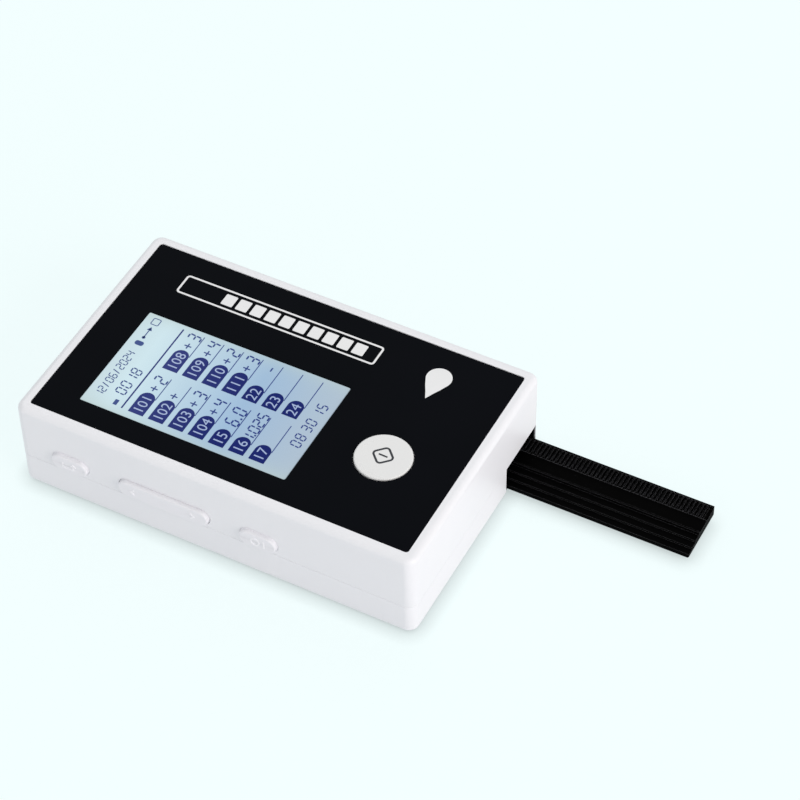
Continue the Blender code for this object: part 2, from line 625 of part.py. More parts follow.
def make_housing_screws():
    """Four slotted screws that come up from the underside into the top cover."""
    top = COVER_BOTTOM + SEAT_GAP + SCREW_GRIP
    head_top = SCREW_HEAD_SINK + SCREW_HEAD_HEIGHT
    for number, (x, y) in enumerate(SCREW_PLACES, 1):
        profile = [(0.0, top), (SCREW_RADIUS * 0.7, top), (SCREW_RADIUS, top - SCREW_RADIUS),
                   (SCREW_RADIUS, head_top), (SCREW_HEAD_RADIUS, head_top),
                   (SCREW_HEAD_RADIUS, SCREW_HEAD_SINK), (0.0, SCREW_HEAD_SINK)]
        screw = turned(f"housing_screw_{number}", profile, STEEL, (x, y, 0), sides=16)
        drive = block(f"screw_drive_{number}",
                      (x - SCREW_SLOT_WIDTH / 2, y - SCREW_HEAD_RADIUS - OVERSHOOT,
                       SCREW_HEAD_SINK - OVERSHOOT),
                      (x + SCREW_SLOT_WIDTH / 2, y + SCREW_HEAD_RADIUS + OVERSHOOT,
                       SCREW_HEAD_SINK + SCREW_SLOT_DEPTH))
        cut(screw, drive)


def make_feet():
    """Four rubber pads, each glued into a shallow round recess."""
    top = FOOT_RECESS - PRESS_MARGIN * 2
    bottom = top - FOOT_THICKNESS
    for number, (x, y) in enumerate(FOOT_PLACES, 1):
        profile = [(0.0, top), (FOOT_RADIUS, top), (FOOT_RADIUS, bottom + FOOT_CHAMFER),
                   (FOOT_RADIUS - FOOT_CHAMFER, bottom), (0.0, bottom)]
        turned(f"foot_{number}", profile, FOOT_RUBBER, (x, y, 0), sides=24)


# Panel, display and main board

def make_front_panel():
    """The black panel sheet with the display window and the button hole."""
    x = PANEL_HALF_LENGTH - DISPLAY_GAP
    y = HALF_WIDTH - PANEL_MARGIN - DISPLAY_GAP
    panel = block("front_panel", (-x, -y, PANEL_BOTTOM), (x, y, PANEL_TOP), BLACK_PANEL,
                  corner=PANEL_CORNER_RADIUS - DISPLAY_GAP, segments=3)
    window = slot_through("panel_window", WINDOW_X, WINDOW_Y, WINDOW_LENGTH, WINDOW_WIDTH,
                          PANEL_BOTTOM - OVERSHOOT, PANEL_TOP + OVERSHOOT, WINDOW_CORNER_RADIUS)
    hole = rod("panel_button_hole", BUTTON_RADIUS + RUN_GAP,
               (BUTTON_X, BUTTON_Y, PANEL_BOTTOM - OVERSHOOT),
               (BUTTON_X, BUTTON_Y, PANEL_TOP + OVERSHOOT), sides=48)
    cut(panel, window, hole)


def display_block(name, grow, z_low, z_high, material=None, corner=0.0):
    """A plate with the window's plan, grown or shrunk on every side."""
    x = WINDOW_LENGTH / 2 + grow
    y = WINDOW_WIDTH / 2 + grow
    return block(name, (WINDOW_X - x, WINDOW_Y - y, z_low), (WINDOW_X + x, WINDOW_Y + y, z_high),
                 material, corner=corner, segments=3)


def make_display():
    """The display glass, its moulded frame, and the backlight plate inside the frame."""
    display_block("lcd_glass", -DISPLAY_GAP, DISPLAY_BOTTOM, DISPLAY_TOP, DISPLAY,
                  corner=WINDOW_CORNER_RADIUS - DISPLAY_GAP)
    frame = display_block("lcd_frame", LCD_FRAME_RIM, LCD_FRAME_BOTTOM, LCD_FRAME_TOP,
                          SWITCH_BLACK, corner=WINDOW_CORNER_RADIUS)
    pocket = display_block("lcd_frame_pocket", 0.0, LCD_FRAME_BOTTOM + LCD_FRAME_FLOOR,
                           LCD_FRAME_TOP + OVERSHOOT)
    cut(frame, pocket)
    display_block("lcd_backlight", -SEAT_GAP, LCD_FRAME_TOP - BACKLIGHT_THICKNESS, LCD_FRAME_TOP,
                  DIFFUSER)


def make_main_board():
    """The circuit board under the display, with a screw hole at each post."""
    board = block("main_board", (BOARD_LOW_X, -BOARD_HALF_WIDTH, BOARD_BOTTOM),
                  (BOARD_HIGH_X, BOARD_HALF_WIDTH, BOARD_TOP), BOARD_GREEN)
    for number, (x, y) in enumerate(POST_PLACES, 1):
        hole = rod(f"board_hole_{number}", BOARD_SCREW_RADIUS + SEAT_GAP,
                   (x, y, BOARD_BOTTOM - OVERSHOOT), (x, y, BOARD_TOP + OVERSHOOT), sides=12)
        cut(board, hole)
        head = BOARD_BOTTOM - SEAT_GAP
        tip = BOARD_TOP + BOARD_SCREW_GRIP
        profile = [(0.0, tip), (BOARD_SCREW_RADIUS, tip), (BOARD_SCREW_RADIUS, head),
                   (BOARD_SCREW_HEAD_RADIUS, head),
                   (BOARD_SCREW_HEAD_RADIUS, head - BOARD_SCREW_HEAD_HEIGHT),
                   (0.0, head - BOARD_SCREW_HEAD_HEIGHT)]
        turned(f"board_screw_{number}", profile, STEEL, (x, y, 0), sides=12)


def make_usb_socket():
    """The charging and data socket on the main board's end, open to the outside."""
    low_x = -HALF_LENGTH + SOCKET_SINK
    low_z = BOARD_TOP + SEAT_GAP
    half = SOCKET_WIDTH / 2
    socket = block("usb_socket", (low_x, SOCKET_Y - half, low_z),
                   (low_x + SOCKET_DEPTH, SOCKET_Y + half, low_z + SOCKET_HEIGHT), STEEL)
    bay = block("socket_bay",
                (low_x - OVERSHOOT, SOCKET_Y - half + SOCKET_SHEET, low_z + SOCKET_SHEET),
                (low_x + SOCKET_DEPTH - 2 * SOCKET_SHEET, SOCKET_Y + half - SOCKET_SHEET,
                 low_z + SOCKET_HEIGHT - SOCKET_SHEET))
    tongue_low = low_z + (SOCKET_HEIGHT - SOCKET_TONGUE) / 2
    tongue = block("socket_tongue",
                   (low_x + SOCKET_SHEET, SOCKET_Y - half / 2, tongue_low),
                   (low_x + SOCKET_DEPTH - SOCKET_SHEET, SOCKET_Y + half / 2,
                    tongue_low + SOCKET_TONGUE))
    cut(socket, bay)
    add(socket, tongue)


def make_buzzer():
    top = BOARD_BOTTOM - SEAT_GAP
    buzzer = rod("buzzer", BUZZER_RADIUS, (BUZZER_X, BUZZER_Y, top - BUZZER_HEIGHT),
                 (BUZZER_X, BUZZER_Y, top), material=SWITCH_BLACK)
    sound_hole = rod("buzzer_hole", BUZZER_HOLE_RADIUS,
                     (BUZZER_X, BUZZER_Y, top - BUZZER_HEIGHT - OVERSHOOT),
                     (BUZZER_X, BUZZER_Y, top - BUZZER_HEIGHT / 2), sides=12)
    cut(buzzer, sound_hole)


def make_battery():
    low_z = FLOOR_TOP
    block("battery",
          (BATTERY_X - BATTERY_LENGTH / 2, BATTERY_Y - BATTERY_WIDTH / 2, low_z),
          (BATTERY_X + BATTERY_LENGTH / 2, BATTERY_Y + BATTERY_WIDTH / 2, low_z + BATTERY_HEIGHT),
          BATTERY_FOIL, top=BATTERY_EDGE_RADIUS)


# Start button, side keys and switches

def make_start_button():
    """The round cap: crowned edge, hollow skirt, retaining flange and centre stem."""
    drop = BUTTON_TOP
    edge = [(BUTTON_RADIUS - BUTTON_EDGE_RADIUS * (1 - math.sin(a)),
             -BUTTON_EDGE_RADIUS * (1 - math.cos(a)))
            for a in (math.radians(d) for d in (0, 30, 60, 90))]
    flange = BUTTON_RADIUS + BUTTON_FLANGE_WIDTH
    bore = BUTTON_RADIUS - BUTTON_SKIRT_WALL
    roof = -BUTTON_PROUD - PANEL_THICKNESS - BUTTON_SKIRT_WALL
    foot = BUTTON_FLANGE_BOTTOM - drop
    profile = [(0.0, 0.0)] + edge + [
        (BUTTON_RADIUS, BUTTON_FLANGE_TOP - drop), (flange, BUTTON_FLANGE_TOP - drop),
        (flange, foot), (bore, foot), (bore, roof), (BUTTON_STEM_RADIUS, roof),
        (BUTTON_STEM_RADIUS, foot), (0.0, foot)]
    turned("start_button", profile, BUTTON_WHITE, (BUTTON_X, BUTTON_Y, drop), sides=44)


def make_switch(name, location, rotation, gap_to_seat, reach):
    """A tact switch: a square body and a round plunger that ends at reach."""
    half = SWITCH_SIDE / 2
    bm = block_mesh((-half, -half, gap_to_seat), (half, half, gap_to_seat + SWITCH_BODY))
    switch = mesh_object(name, bm, SWITCH_BLACK, location, rotation)
    plunger_mesh = bmesh.new()
    middle = gap_to_seat + SWITCH_BODY / 2
    length = reach - middle
    bmesh.ops.create_cone(plunger_mesh, cap_ends=True, segments=16,
                          radius1=SWITCH_PLUNGER_RADIUS, radius2=SWITCH_PLUNGER_RADIUS,
                          depth=length, matrix=Matrix.Translation((0, 0, middle + length / 2)))
    plunger = mesh_object(name + "_plunger", plunger_mesh, None, location, rotation)
    add(switch, plunger)


def make_start_switch():
    reach = BUTTON_FLANGE_BOTTOM - BUTTON_TRAVEL - PRESS_MARGIN - BOARD_TOP
    make_switch("start_switch", (BUTTON_X, BUTTON_Y, BOARD_TOP), (0, 0, 0), SEAT_GAP, reach)


def key_rib_places():
    """Ribs that hold the key board stand midway between neighbouring keys."""
    first = (RETURN_KEY_X + KEY_LENGTH / 2 + ROCKER_X - ROCKER_LENGTH / 2) / 2
    second = (CONFIRM_KEY_X - KEY_LENGTH / 2 + ROCKER_X + ROCKER_LENGTH / 2) / 2
    return first, second


def rocker_pivot_y():
    return KEY_INNER_WALL + ROCKER_PIVOT_DEPTH


def rocker_pin_half():
    return KEY_HEIGHT / 2 + ROCKER_PIN_RISE


def key_cap(name, x, length, behind):
    """A pill-shaped cap that passes through the near wall, origin on the wall's face."""
    bm = block_mesh((-length / 2, -KEY_HEIGHT / 2, -WALL - behind),
                    (length / 2, KEY_HEIGHT / 2, KEY_PROUD),
                    corner=KEY_HEIGHT / 2 - MERGE, top=KEY_EDGE_RADIUS)
    return mesh_object(name, bm, BUTTON_WHITE, (x, KEY_WALL, KEY_Z), (math.pi / 2, 0, 0))


def make_press_key(name, x):
    """A key with a flange behind the wall that stops it falling out."""
    back = SEAT_GAP + KEY_FLANGE_THICKNESS
    key = key_cap(name, x, KEY_LENGTH, SEAT_GAP + KEY_FLANGE_THICKNESS / 2)
    grow = KEY_FLANGE_WIDTH
    bm = block_mesh((-KEY_LENGTH / 2 - grow, -KEY_HEIGHT / 2 - grow, -WALL - back),
                    (KEY_LENGTH / 2 + grow, KEY_HEIGHT / 2 + grow, -WALL - SEAT_GAP))
    flange = mesh_object(name + "_flange", bm, None, key.location, key.rotation_euler)
    add(key, flange)


def make_rocker_key():
    """The long middle key, which rocks about an upright pin at its middle."""
    back = SEAT_GAP + KEY_FLANGE_THICKNESS
    pivot = (ROCKER_X, rocker_pivot_y(), KEY_Z)
    bm = block_mesh((-ROCKER_LENGTH / 2, -KEY_HEIGHT / 2, -WALL - back),
                    (ROCKER_LENGTH / 2, KEY_HEIGHT / 2, KEY_PROUD),
                    corner=KEY_HEIGHT / 2 - MERGE, top=KEY_EDGE_RADIUS)
    bmesh.ops.translate(bm, verts=bm.verts[:], vec=(0, 0, pivot[1] - KEY_WALL))
    rocker = mesh_object("rocker_key", bm, BUTTON_WHITE, pivot, (math.pi / 2, 0, 0))
    hub = block("rocker_hub",
                (ROCKER_X - LUG_WIDTH / 2, KEY_INNER_WALL + SEAT_GAP, KEY_Z - KEY_HEIGHT / 2),
                (ROCKER_X + LUG_WIDTH / 2, pivot[1] + ROCKER_PIN_RADIUS, KEY_Z + KEY_HEIGHT / 2))
    pin = rod("rocker_pin", ROCKER_PIN_RADIUS, (pivot[0], pivot[1], KEY_Z - rocker_pin_half()),
              (pivot[0], pivot[1], KEY_Z + rocker_pin_half()), sides=16)
    add(rocker, hub, pin)


def make_key_board():
    """The upright board behind the keys, with one switch for each key position."""
    low_x = RETURN_KEY_X - KEY_LENGTH / 2 - KEY_BOARD_OVERHANG
    high_x = CONFIRM_KEY_X + KEY_LENGTH / 2 + KEY_BOARD_OVERHANG
    block("key_board", (low_x, KEY_BOARD_FRONT, KEY_Z - KEY_BOARD_HEIGHT / 2),
          (high_x, KEY_BOARD_FRONT + KEY_BOARD_THICKNESS, KEY_Z + KEY_BOARD_HEIGHT / 2),
          BOARD_GREEN)
    key_back = KEY_INNER_WALL + SEAT_GAP + KEY_FLANGE_THICKNESS
    press_reach = KEY_BOARD_FRONT - (key_back + KEY_TRAVEL + PRESS_MARGIN)
    tilt_drop = (ROCKER_ARM + SWITCH_PLUNGER_RADIUS) * math.tan(ROCKER_TILT)
    rock_reach = KEY_BOARD_FRONT - (key_back + tilt_drop + PRESS_MARGIN)
    places = [(RETURN_KEY_X, press_reach), (ROCKER_X - ROCKER_ARM, rock_reach),
              (ROCKER_X + ROCKER_ARM, rock_reach), (CONFIRM_KEY_X, press_reach)]
    for number, (x, reach) in enumerate(places, 1):
        make_switch(f"key_switch_{number}", (x, KEY_BOARD_FRONT, KEY_Z), (math.pi / 2, 0, 0),
                    SEAT_GAP, reach)


# Tray and guide

def tray_section():
    """The tray's cross-section seen from its tip: rim, rack strip, channel, rib and steps."""
    z = TRAY_TOP
    root = RACK_PITCH_Z - DEDENDUM * GEAR_MODULE
    channel_far = TRAY_FAR - RACK_WIDTH
    channel_near = channel_far - CHANNEL_WIDTH
    rib_near = channel_near - RIB_WIDTH
    first = rib_near - STEP_WIDTH
    second = first - STEP_WIDTH
    channel_z = z - CHANNEL_DEPTH
    step_1 = channel_z - STEP_HEIGHT / 2
    step_2 = step_1 - STEP_HEIGHT
    step_3 = step_2 - STEP_HEIGHT
    return [(TRAY_FAR, TRAY_BOTTOM), (TRAY_FAR, z + RACK_RIM_RISE),
            (TRAY_FAR - RACK_RIM, z + RACK_RIM_RISE), (TRAY_FAR - RACK_RIM, root),
            (channel_far, root),
            (channel_far, channel_z), (channel_near, channel_z), (channel_near, z - RIB_DROP),
            (rib_near, z - RIB_DROP), (rib_near, step_1), (first, step_1), (first, step_2),
            (second, step_2), (second, step_3), (TRAY_NEAR, step_3), (TRAY_NEAR, TRAY_BOTTOM)]


def rack_outline():
    """Side view of the rack: straight flanks on a backing bar sunk into the tray."""
    half = TOOTH_PITCH / 4 - BACKLASH / 4
    slope = math.tan(PRESSURE_ANGLE)
    tip = ADDENDUM * GEAR_MODULE
    root = -DEDENDUM * GEAR_MODULE
    first = math.ceil((TRAY_TAIL - PINION_X) / TOOTH_PITCH)
    last = math.floor((TRAY_TIP - PINION_X) / TOOTH_PITCH) - 1
    points = []
    for number in range(first, last + 1):
        x = PINION_X + (number + 0.5) * TOOTH_PITCH
        points += [(x - half + slope * root, root), (x - half + slope * tip, tip),
                   (x + half - slope * tip, tip), (x + half - slope * root, root)]
    backing = root - OVERSHOOT / 2
    return points + [(points[-1][0], backing), (points[0][0], backing)]


def make_tray():
    """The black tray that carries a test strip, with the rack along its far edge."""
    length = TRAY_LENGTH
    middle = (TRAY_TIP + TRAY_TAIL) / 2
    tray = outline_solid("tray", [tray_section()], length, TRAY_BLACK, (middle, 0, 0),
                         (math.pi / 2, 0, math.pi / 2))
    rack_near = TRAY_FAR - RACK_WIDTH + MERGE
    rack_far = TRAY_FAR - RACK_RIM + MERGE * 10
    rack = outline_solid("tray_rack", [rack_outline()], rack_far - rack_near, None,
                         (0, (rack_near + rack_far) / 2, RACK_PITCH_Z), (math.pi / 2, 0, 0))
    stop = block("strip_stop",
                 (TRAY_TAIL + OVERSHOOT, TRAY_FAR - RACK_WIDTH - CHANNEL_WIDTH - RIB_WIDTH / 2,
                  TRAY_BOTTOM + OVERSHOOT),
                 (TRAY_TAIL + STRIP_STOP_LENGTH, TRAY_FAR - RACK_WIDTH + RIB_WIDTH,
                  TRAY_TOP - RIB_DROP))
    add(tray, rack, stop)
    tip_angle = math.radians(45)
    bm = block_mesh((-TRAY_TIP_BEVEL, -TRAY_WIDTH, -TRAY_TIP_BEVEL),
                    (TRAY_TIP_BEVEL, TRAY_WIDTH, TRAY_TIP_BEVEL))
    nose = mesh_object("tray_nose", bm, None, (TRAY_TIP, TRAY_Y, TRAY_BOTTOM), (0, tip_angle, 0))
    cut(tray, nose)


def make_tray_guide():
    """The black collar that lines the mouth in the end wall and steadies the tray."""
    front = HALF_LENGTH - GUIDE_SINK
    rear = front - GUIDE_DEPTH
    side = RUN_GAP + GUIDE_WALL
    top = SEAM_HEIGHT - GUIDE_GAP
    guide = block("tray_guide", (rear, TRAY_NEAR - side, GUIDE_BOTTOM),
                  (front, TRAY_FAR + side, top), TRAY_BLACK)
    passage = block("guide_passage",
                    (rear - OVERSHOOT, TRAY_NEAR - RUN_GAP, GUIDE_BOTTOM + GUIDE_LIP),
                    (front + OVERSHOOT, TRAY_FAR + RUN_GAP, top - GUIDE_ROOF))
    under = block("guide_under", (rear - OVERSHOOT, TRAY_NEAR - 2 * side, 0.0),
                  (HALF_LENGTH - WALL + GUIDE_GAP / 2, TRAY_FAR + 2 * side,
                   LANE_FLOOR + GUIDE_GAP))
    cut(guide, passage, under)


# Gear train

def involute(angle):
    return math.tan(angle) - angle


def gear_outline(teeth, phase):
    """Involute teeth, one of them centred on the angle phase."""
    pitch_radius = teeth * GEAR_MODULE / 2
    base_radius = pitch_radius * math.cos(PRESSURE_ANGLE)
    root_radius = pitch_radius - DEDENDUM * GEAR_MODULE
    tip_radius = pitch_radius + ADDENDUM * GEAR_MODULE
    half = math.pi / (2 * teeth) - BACKLASH / (4 * pitch_radius)
    at_base = half + involute(PRESSURE_ANGLE)

    def half_angle(radius):
        if radius <= base_radius:
            return at_base
        return at_base - involute(math.acos(base_radius / radius))

    radii = [root_radius, max(base_radius, root_radius + MERGE * 10), pitch_radius, tip_radius]
    rising = [(radius, -half_angle(radius)) for radius in radii]
    falling = [(radius, half_angle(radius)) for radius in reversed(radii)]
    points = []
    for number in range(teeth):
        centre = phase + 2 * math.pi * number / teeth
        for radius, offset in rising + falling:
            points.append((radius * math.cos(centre + offset), radius * math.sin(centre + offset)))
    return points


def mating_phase(phase, teeth, direction, other_teeth):
    """Phase of a second gear, lying in direction, so that its gap takes this gear's tooth."""
    pitch = 2 * math.pi / teeth
    offset = (phase - direction + pitch / 2) % pitch - pitch / 2
    return direction + math.pi - offset * teeth / other_teeth + math.pi / other_teeth


def gear(name, teeth, phase, x, z, y_low, y_high, material=None):
    """A spur gear on a Y axis, between two stations along it."""
    return outline_solid(name, [gear_outline(teeth, phase)], y_high - y_low, material,
                         (x, (y_low + y_high) / 2, z), (math.pi / 2, 0, 0))


def bore_gear(target, x, z):
    """Cuts the running bore for a shaft right through a gear."""
    bore = rod(target.name + "_bore", SHAFT_RADIUS + BORE_CLEARANCE,
               (x, PLATE_NEAR, z), (x, GEAR_FAR + OVERSHOOT, z), axis="Y", sides=24)
    cut(target, bore)


def make_gear_train():
    """Rack pinion, compound reduction gear and motor gear, in mesh at rest."""
    pinion_phase = -math.pi / 2
    pinion = gear("rack_pinion", PINION_TEETH, pinion_phase, PINION_X, PINION_Z, GEAR_NEAR,
                  GEAR_FAR, GEAR_WHITE)
    hub = rod("pinion_hub", HUB_RADIUS, (PINION_X, PLATE_FAR + RUN_GAP, PINION_Z),
              (PINION_X, GEAR_NEAR + OVERSHOOT, PINION_Z), axis="Y", sides=20)
    add(pinion, hub)
    bore_gear(pinion, PINION_X, PINION_Z)

    to_reduction = math.atan2(REDUCTION_Z - PINION_Z, REDUCTION_X - PINION_X)
    small_phase = mating_phase(pinion_phase, PINION_TEETH, to_reduction, REDUCTION_PINION_TEETH)
    small = gear("reduction_pinion", REDUCTION_PINION_TEETH, small_phase, REDUCTION_X, REDUCTION_Z,
                 WHEEL_FAR - OVERSHOOT / 2, GEAR_FAR)
    wheel = gear("reduction_gear", REDUCTION_WHEEL_TEETH, 0.0, REDUCTION_X, REDUCTION_Z,
                 WHEEL_NEAR, WHEEL_FAR, GEAR_WHITE)
    add(wheel, small)
    bore_gear(wheel, REDUCTION_X, REDUCTION_Z)

    motor_phase = mating_phase(0.0, REDUCTION_WHEEL_TEETH, math.pi, MOTOR_TEETH)
    motor_gear = gear("motor_gear", MOTOR_TEETH, motor_phase, MOTOR_X, MOTOR_Z, WHEEL_NEAR,
                      WHEEL_FAR, GEAR_WHITE)
    spindle = rod("motor_spindle", MOTOR_SHAFT_RADIUS,
                  (MOTOR_X, PLATE_NEAR - MOTOR_BORE_DEPTH + SEAT_GAP, MOTOR_Z),
                  (MOTOR_X, WHEEL_FAR - WHEEL_WIDTH / 2, MOTOR_Z), axis="Y", sides=12)
    add(motor_gear, spindle)


def make_shafts():
    """Fixed steel shafts that the pinion and the reduction gear turn on."""
    for name, x, z in (("pinion_shaft", PINION_X, PINION_Z),
                       ("reduction_shaft", REDUCTION_X, REDUCTION_Z)):
        rod(name, SHAFT_RADIUS, (x, PLATE_NEAR - SHAFT_END, z), (x, GEAR_FAR + SHAFT_END, z),
            axis="Y", material=STEEL, sides=20)


def make_gear_bracket():
    """A U-shaped bracket: a plate for the shafts and motor, with two arms and feet."""
    low_x = BRACKET_LOW_X
    high_x = BRACKET_HIGH_X
    low_z = TRAY_TOP + BRACKET_LIFT
    high_z = low_z + BRACKET_HEIGHT
    foot_far = TRAY_NEAR - LANE_SIDE_GAP - SEAT_GAP
    foot_near = foot_far - BRACKET_FOOT
    bracket = block("gear_bracket", (low_x, PLATE_NEAR, low_z), (high_x, PLATE_FAR, high_z),
                    GEAR_WHITE)
    for side, x in (("low", low_x), ("high", high_x - BRACKET_ARM)):
        arm = block("bracket_arm_" + side, (x, foot_near, low_z),
                    (x + BRACKET_ARM, PLATE_FAR - BRACKET_PLATE / 2, high_z - BRACKET_ARM))
        foot = block("bracket_foot_" + side, (x, foot_near, FLOOR_TOP),
                     (x + BRACKET_ARM, foot_far, low_z + BRACKET_ARM))
        add(bracket, arm, foot)
    for name, x, z, radius in (
            ("pinion_shaft_hole", PINION_X, PINION_Z, SHAFT_RADIUS + BORE_CLEARANCE),
            ("reduction_shaft_hole", REDUCTION_X, REDUCTION_Z, SHAFT_RADIUS + BORE_CLEARANCE),
            ("motor_neck_hole", MOTOR_X, MOTOR_Z, MOTOR_NECK_RADIUS + SEAT_GAP)):
        hole = rod(name, radius, (x, PLATE_NEAR - OVERSHOOT, z), (x, PLATE_FAR + OVERSHOOT, z),
                   axis="Y", sides=20)
        cut(bracket, hole)


def make_drive_motor():
    """The small can motor behind the bracket plate, its neck through the plate."""
    front = PLATE_NEAR - SEAT_GAP
    motor = rod("drive_motor", MOTOR_RADIUS, (MOTOR_X, front - MOTOR_LENGTH, MOTOR_Z),
                (MOTOR_X, front, MOTOR_Z), axis="Y", material=STEEL, sides=32)
    neck = rod("motor_neck", MOTOR_NECK_RADIUS, (MOTOR_X, front - OVERSHOOT, MOTOR_Z),
               (MOTOR_X, front + MOTOR_NECK_LENGTH, MOTOR_Z), axis="Y", sides=20)
    bore = rod("motor_bore", MOTOR_SHAFT_RADIUS + RUN_GAP,
               (MOTOR_X, PLATE_NEAR - MOTOR_BORE_DEPTH, MOTOR_Z),
               (MOTOR_X, PLATE_FAR + OVERSHOOT, MOTOR_Z), axis="Y", sides=16)
    add(motor, neck)
    cut(motor, bore)


# Optical head

def make_optical_head():
    """The reading head: an arm over the strip channel on a leg beside the tray."""
    low_x = HEAD_X - HEAD_LENGTH / 2
    high_x = HEAD_X + HEAD_LENGTH / 2
    leg_far = TRAY_NEAR - LANE_SIDE_GAP - SEAT_GAP
    leg_near = leg_far - HEAD_LEG
    arm_low = TRAY_TOP + HEAD_LIFT
    arm_high = arm_low + HEAD_ARM
    head = block("optical_head", (low_x, leg_near, arm_low), (high_x, TRAY_FAR, arm_high),
                 SWITCH_BLACK, top=HEAD_EDGE)
    leg = block("head_leg", (low_x, leg_near, FLOOR_TOP), (high_x, leg_far, arm_low + OVERSHOOT))
    channel_y = TRAY_FAR - RACK_WIDTH - CHANNEL_WIDTH / 2
    aperture = rod("head_aperture", HEAD_APERTURE_RADIUS,
                   (HEAD_X, channel_y, arm_low - OVERSHOOT),
                   (HEAD_X, channel_y, arm_low + HEAD_ARM / 2), sides=20)
    add(head, leg)
    cut(head, aperture)
    block("sensor_board",
          (low_x + SENSOR_BOARD_MARGIN, TRAY_NEAR, arm_high + SEAT_GAP),
          (high_x - SENSOR_BOARD_MARGIN, TRAY_FAR - SENSOR_BOARD_MARGIN,
           arm_high + SEAT_GAP + SENSOR_BOARD_THICKNESS), BOARD_GREEN)


def make_analyzer():
    make_top_cover()
    make_base_cover()
    make_housing_screws()
    make_feet()
    make_front_panel()
    make_display()
    make_main_board()
    make_usb_socket()
    make_buzzer()
    make_battery()
    make_start_button()
    make_start_switch()
    make_press_key("return_key", RETURN_KEY_X)
    make_press_key("confirm_key", CONFIRM_KEY_X)
    make_rocker_key()
    make_key_board()
    make_tray()
    make_tray_guide()
    make_gear_train()
    make_shafts()
    make_gear_bracket()
    make_drive_motor()
    make_optical_head()


make_analyzer()
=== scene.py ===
import math

import bmesh
import bpy
from mathutils import Matrix, Vector


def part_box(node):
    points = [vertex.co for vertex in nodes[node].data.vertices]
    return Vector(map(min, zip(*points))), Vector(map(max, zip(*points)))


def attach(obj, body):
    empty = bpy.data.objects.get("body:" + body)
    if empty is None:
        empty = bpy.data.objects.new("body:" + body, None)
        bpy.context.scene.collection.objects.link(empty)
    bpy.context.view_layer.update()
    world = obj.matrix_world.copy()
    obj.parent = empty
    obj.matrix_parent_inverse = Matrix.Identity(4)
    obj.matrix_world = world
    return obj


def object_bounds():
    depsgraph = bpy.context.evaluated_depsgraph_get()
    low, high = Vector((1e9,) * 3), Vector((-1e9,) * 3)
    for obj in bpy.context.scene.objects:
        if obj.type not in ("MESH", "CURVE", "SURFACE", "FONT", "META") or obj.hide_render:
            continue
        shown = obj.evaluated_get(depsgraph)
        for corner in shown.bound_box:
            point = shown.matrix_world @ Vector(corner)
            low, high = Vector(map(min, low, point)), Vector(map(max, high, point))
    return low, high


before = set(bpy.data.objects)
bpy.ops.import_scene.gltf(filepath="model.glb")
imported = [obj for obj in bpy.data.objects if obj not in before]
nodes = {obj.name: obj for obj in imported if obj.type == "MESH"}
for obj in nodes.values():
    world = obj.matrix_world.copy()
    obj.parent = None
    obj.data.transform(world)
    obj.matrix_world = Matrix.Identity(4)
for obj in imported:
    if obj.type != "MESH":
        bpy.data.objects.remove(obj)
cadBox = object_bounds()
print("frame loaded,", len(nodes), "nodes")

mm = 0.001
black = (0.0, 0.0, 0.0, 1.0)


# building blocks of the materials

def node(tree, kind, **values):
    made = tree.nodes.new(kind)
    for label, value in values.items():
        setattr(made, label, value)
    return made


def feed(tree, value, socket):
    # a fixed value is set on the socket, a node's output is linked to it
    if isinstance(value, (int, float, tuple)):
        socket.default_value = value
    else:
        tree.links.new(value, socket)


def objectPlace(tree):
    return node(tree, "ShaderNodeTexCoord").outputs["Object"]


def placeAlong(tree, axis):
    split = node(tree, "ShaderNodeSeparateXYZ")
    feed(tree, objectPlace(tree), split.inputs[0])
    return split.outputs[axis]


def fade(tree, value, start, end):
    # 0 where the value is at its start, 1 where it is at its end
    made = node(tree, "ShaderNodeMapRange")
    feed(tree, value, made.inputs["Value"])
    made.inputs["From Min"].default_value = start
    made.inputs["From Max"].default_value = end
    return made.outputs[0]


def maths(tree, operation, *values, clamp=False):
    made = node(tree, "ShaderNodeMath", operation=operation, use_clamp=clamp)
    for value, socket in zip(values, made.inputs):
        feed(tree, value, socket)
    return made.outputs[0]


def noise(tree, place, scale, detail=2.0, rough=0.5):
    made = node(tree, "ShaderNodeTexNoise")
    for label, value in (("Vector", place), ("Scale", scale), ("Detail", detail), ("Roughness", rough)):
        feed(tree, value, made.inputs[label])
    return made.outputs["Fac"]


def stretchedNoise(tree, scale, detail):
    # noise drawn out along one way
    stretch = node(tree, "ShaderNodeMapping")
    stretch.inputs["Scale"].default_value = scale
    feed(tree, objectPlace(tree), stretch.inputs["Vector"])
    return noise(tree, stretch.outputs["Vector"], 1.0, detail)


def cellDots(tree, place, scale):
    made = node(tree, "ShaderNodeTexVoronoi")
    feed(tree, place, made.inputs["Vector"])
    feed(tree, scale, made.inputs["Scale"])
    return made.outputs["Distance"]


def mixColour(tree, share, first, second):
    made = node(tree, "ShaderNodeMix", data_type="RGBA")
    for number, value in ((0, share), (6, first), (7, second)):  # the sockets that a colour mix uses
        feed(tree, value, made.inputs[number])
    return made.outputs[2]


# effects that several materials share

grainLook = {"scale": 2600.0, "detail": 3.0, "rough": 0.6, "pitDepth": 0.5}
driftLook = {"scale": 60.0, "amount": 0.5, "detail": 3.0, "rough": 0.55, "start": 0.35, "contrast": 2.2}
edgeHighlightLook = {"strength": 3.0, "radius": 0.16, "samples": 4}
glossLook = {"low": 0.3, "high": 0.5, "scale": 90.0, "detail": 4.0, "rough": 0.6}


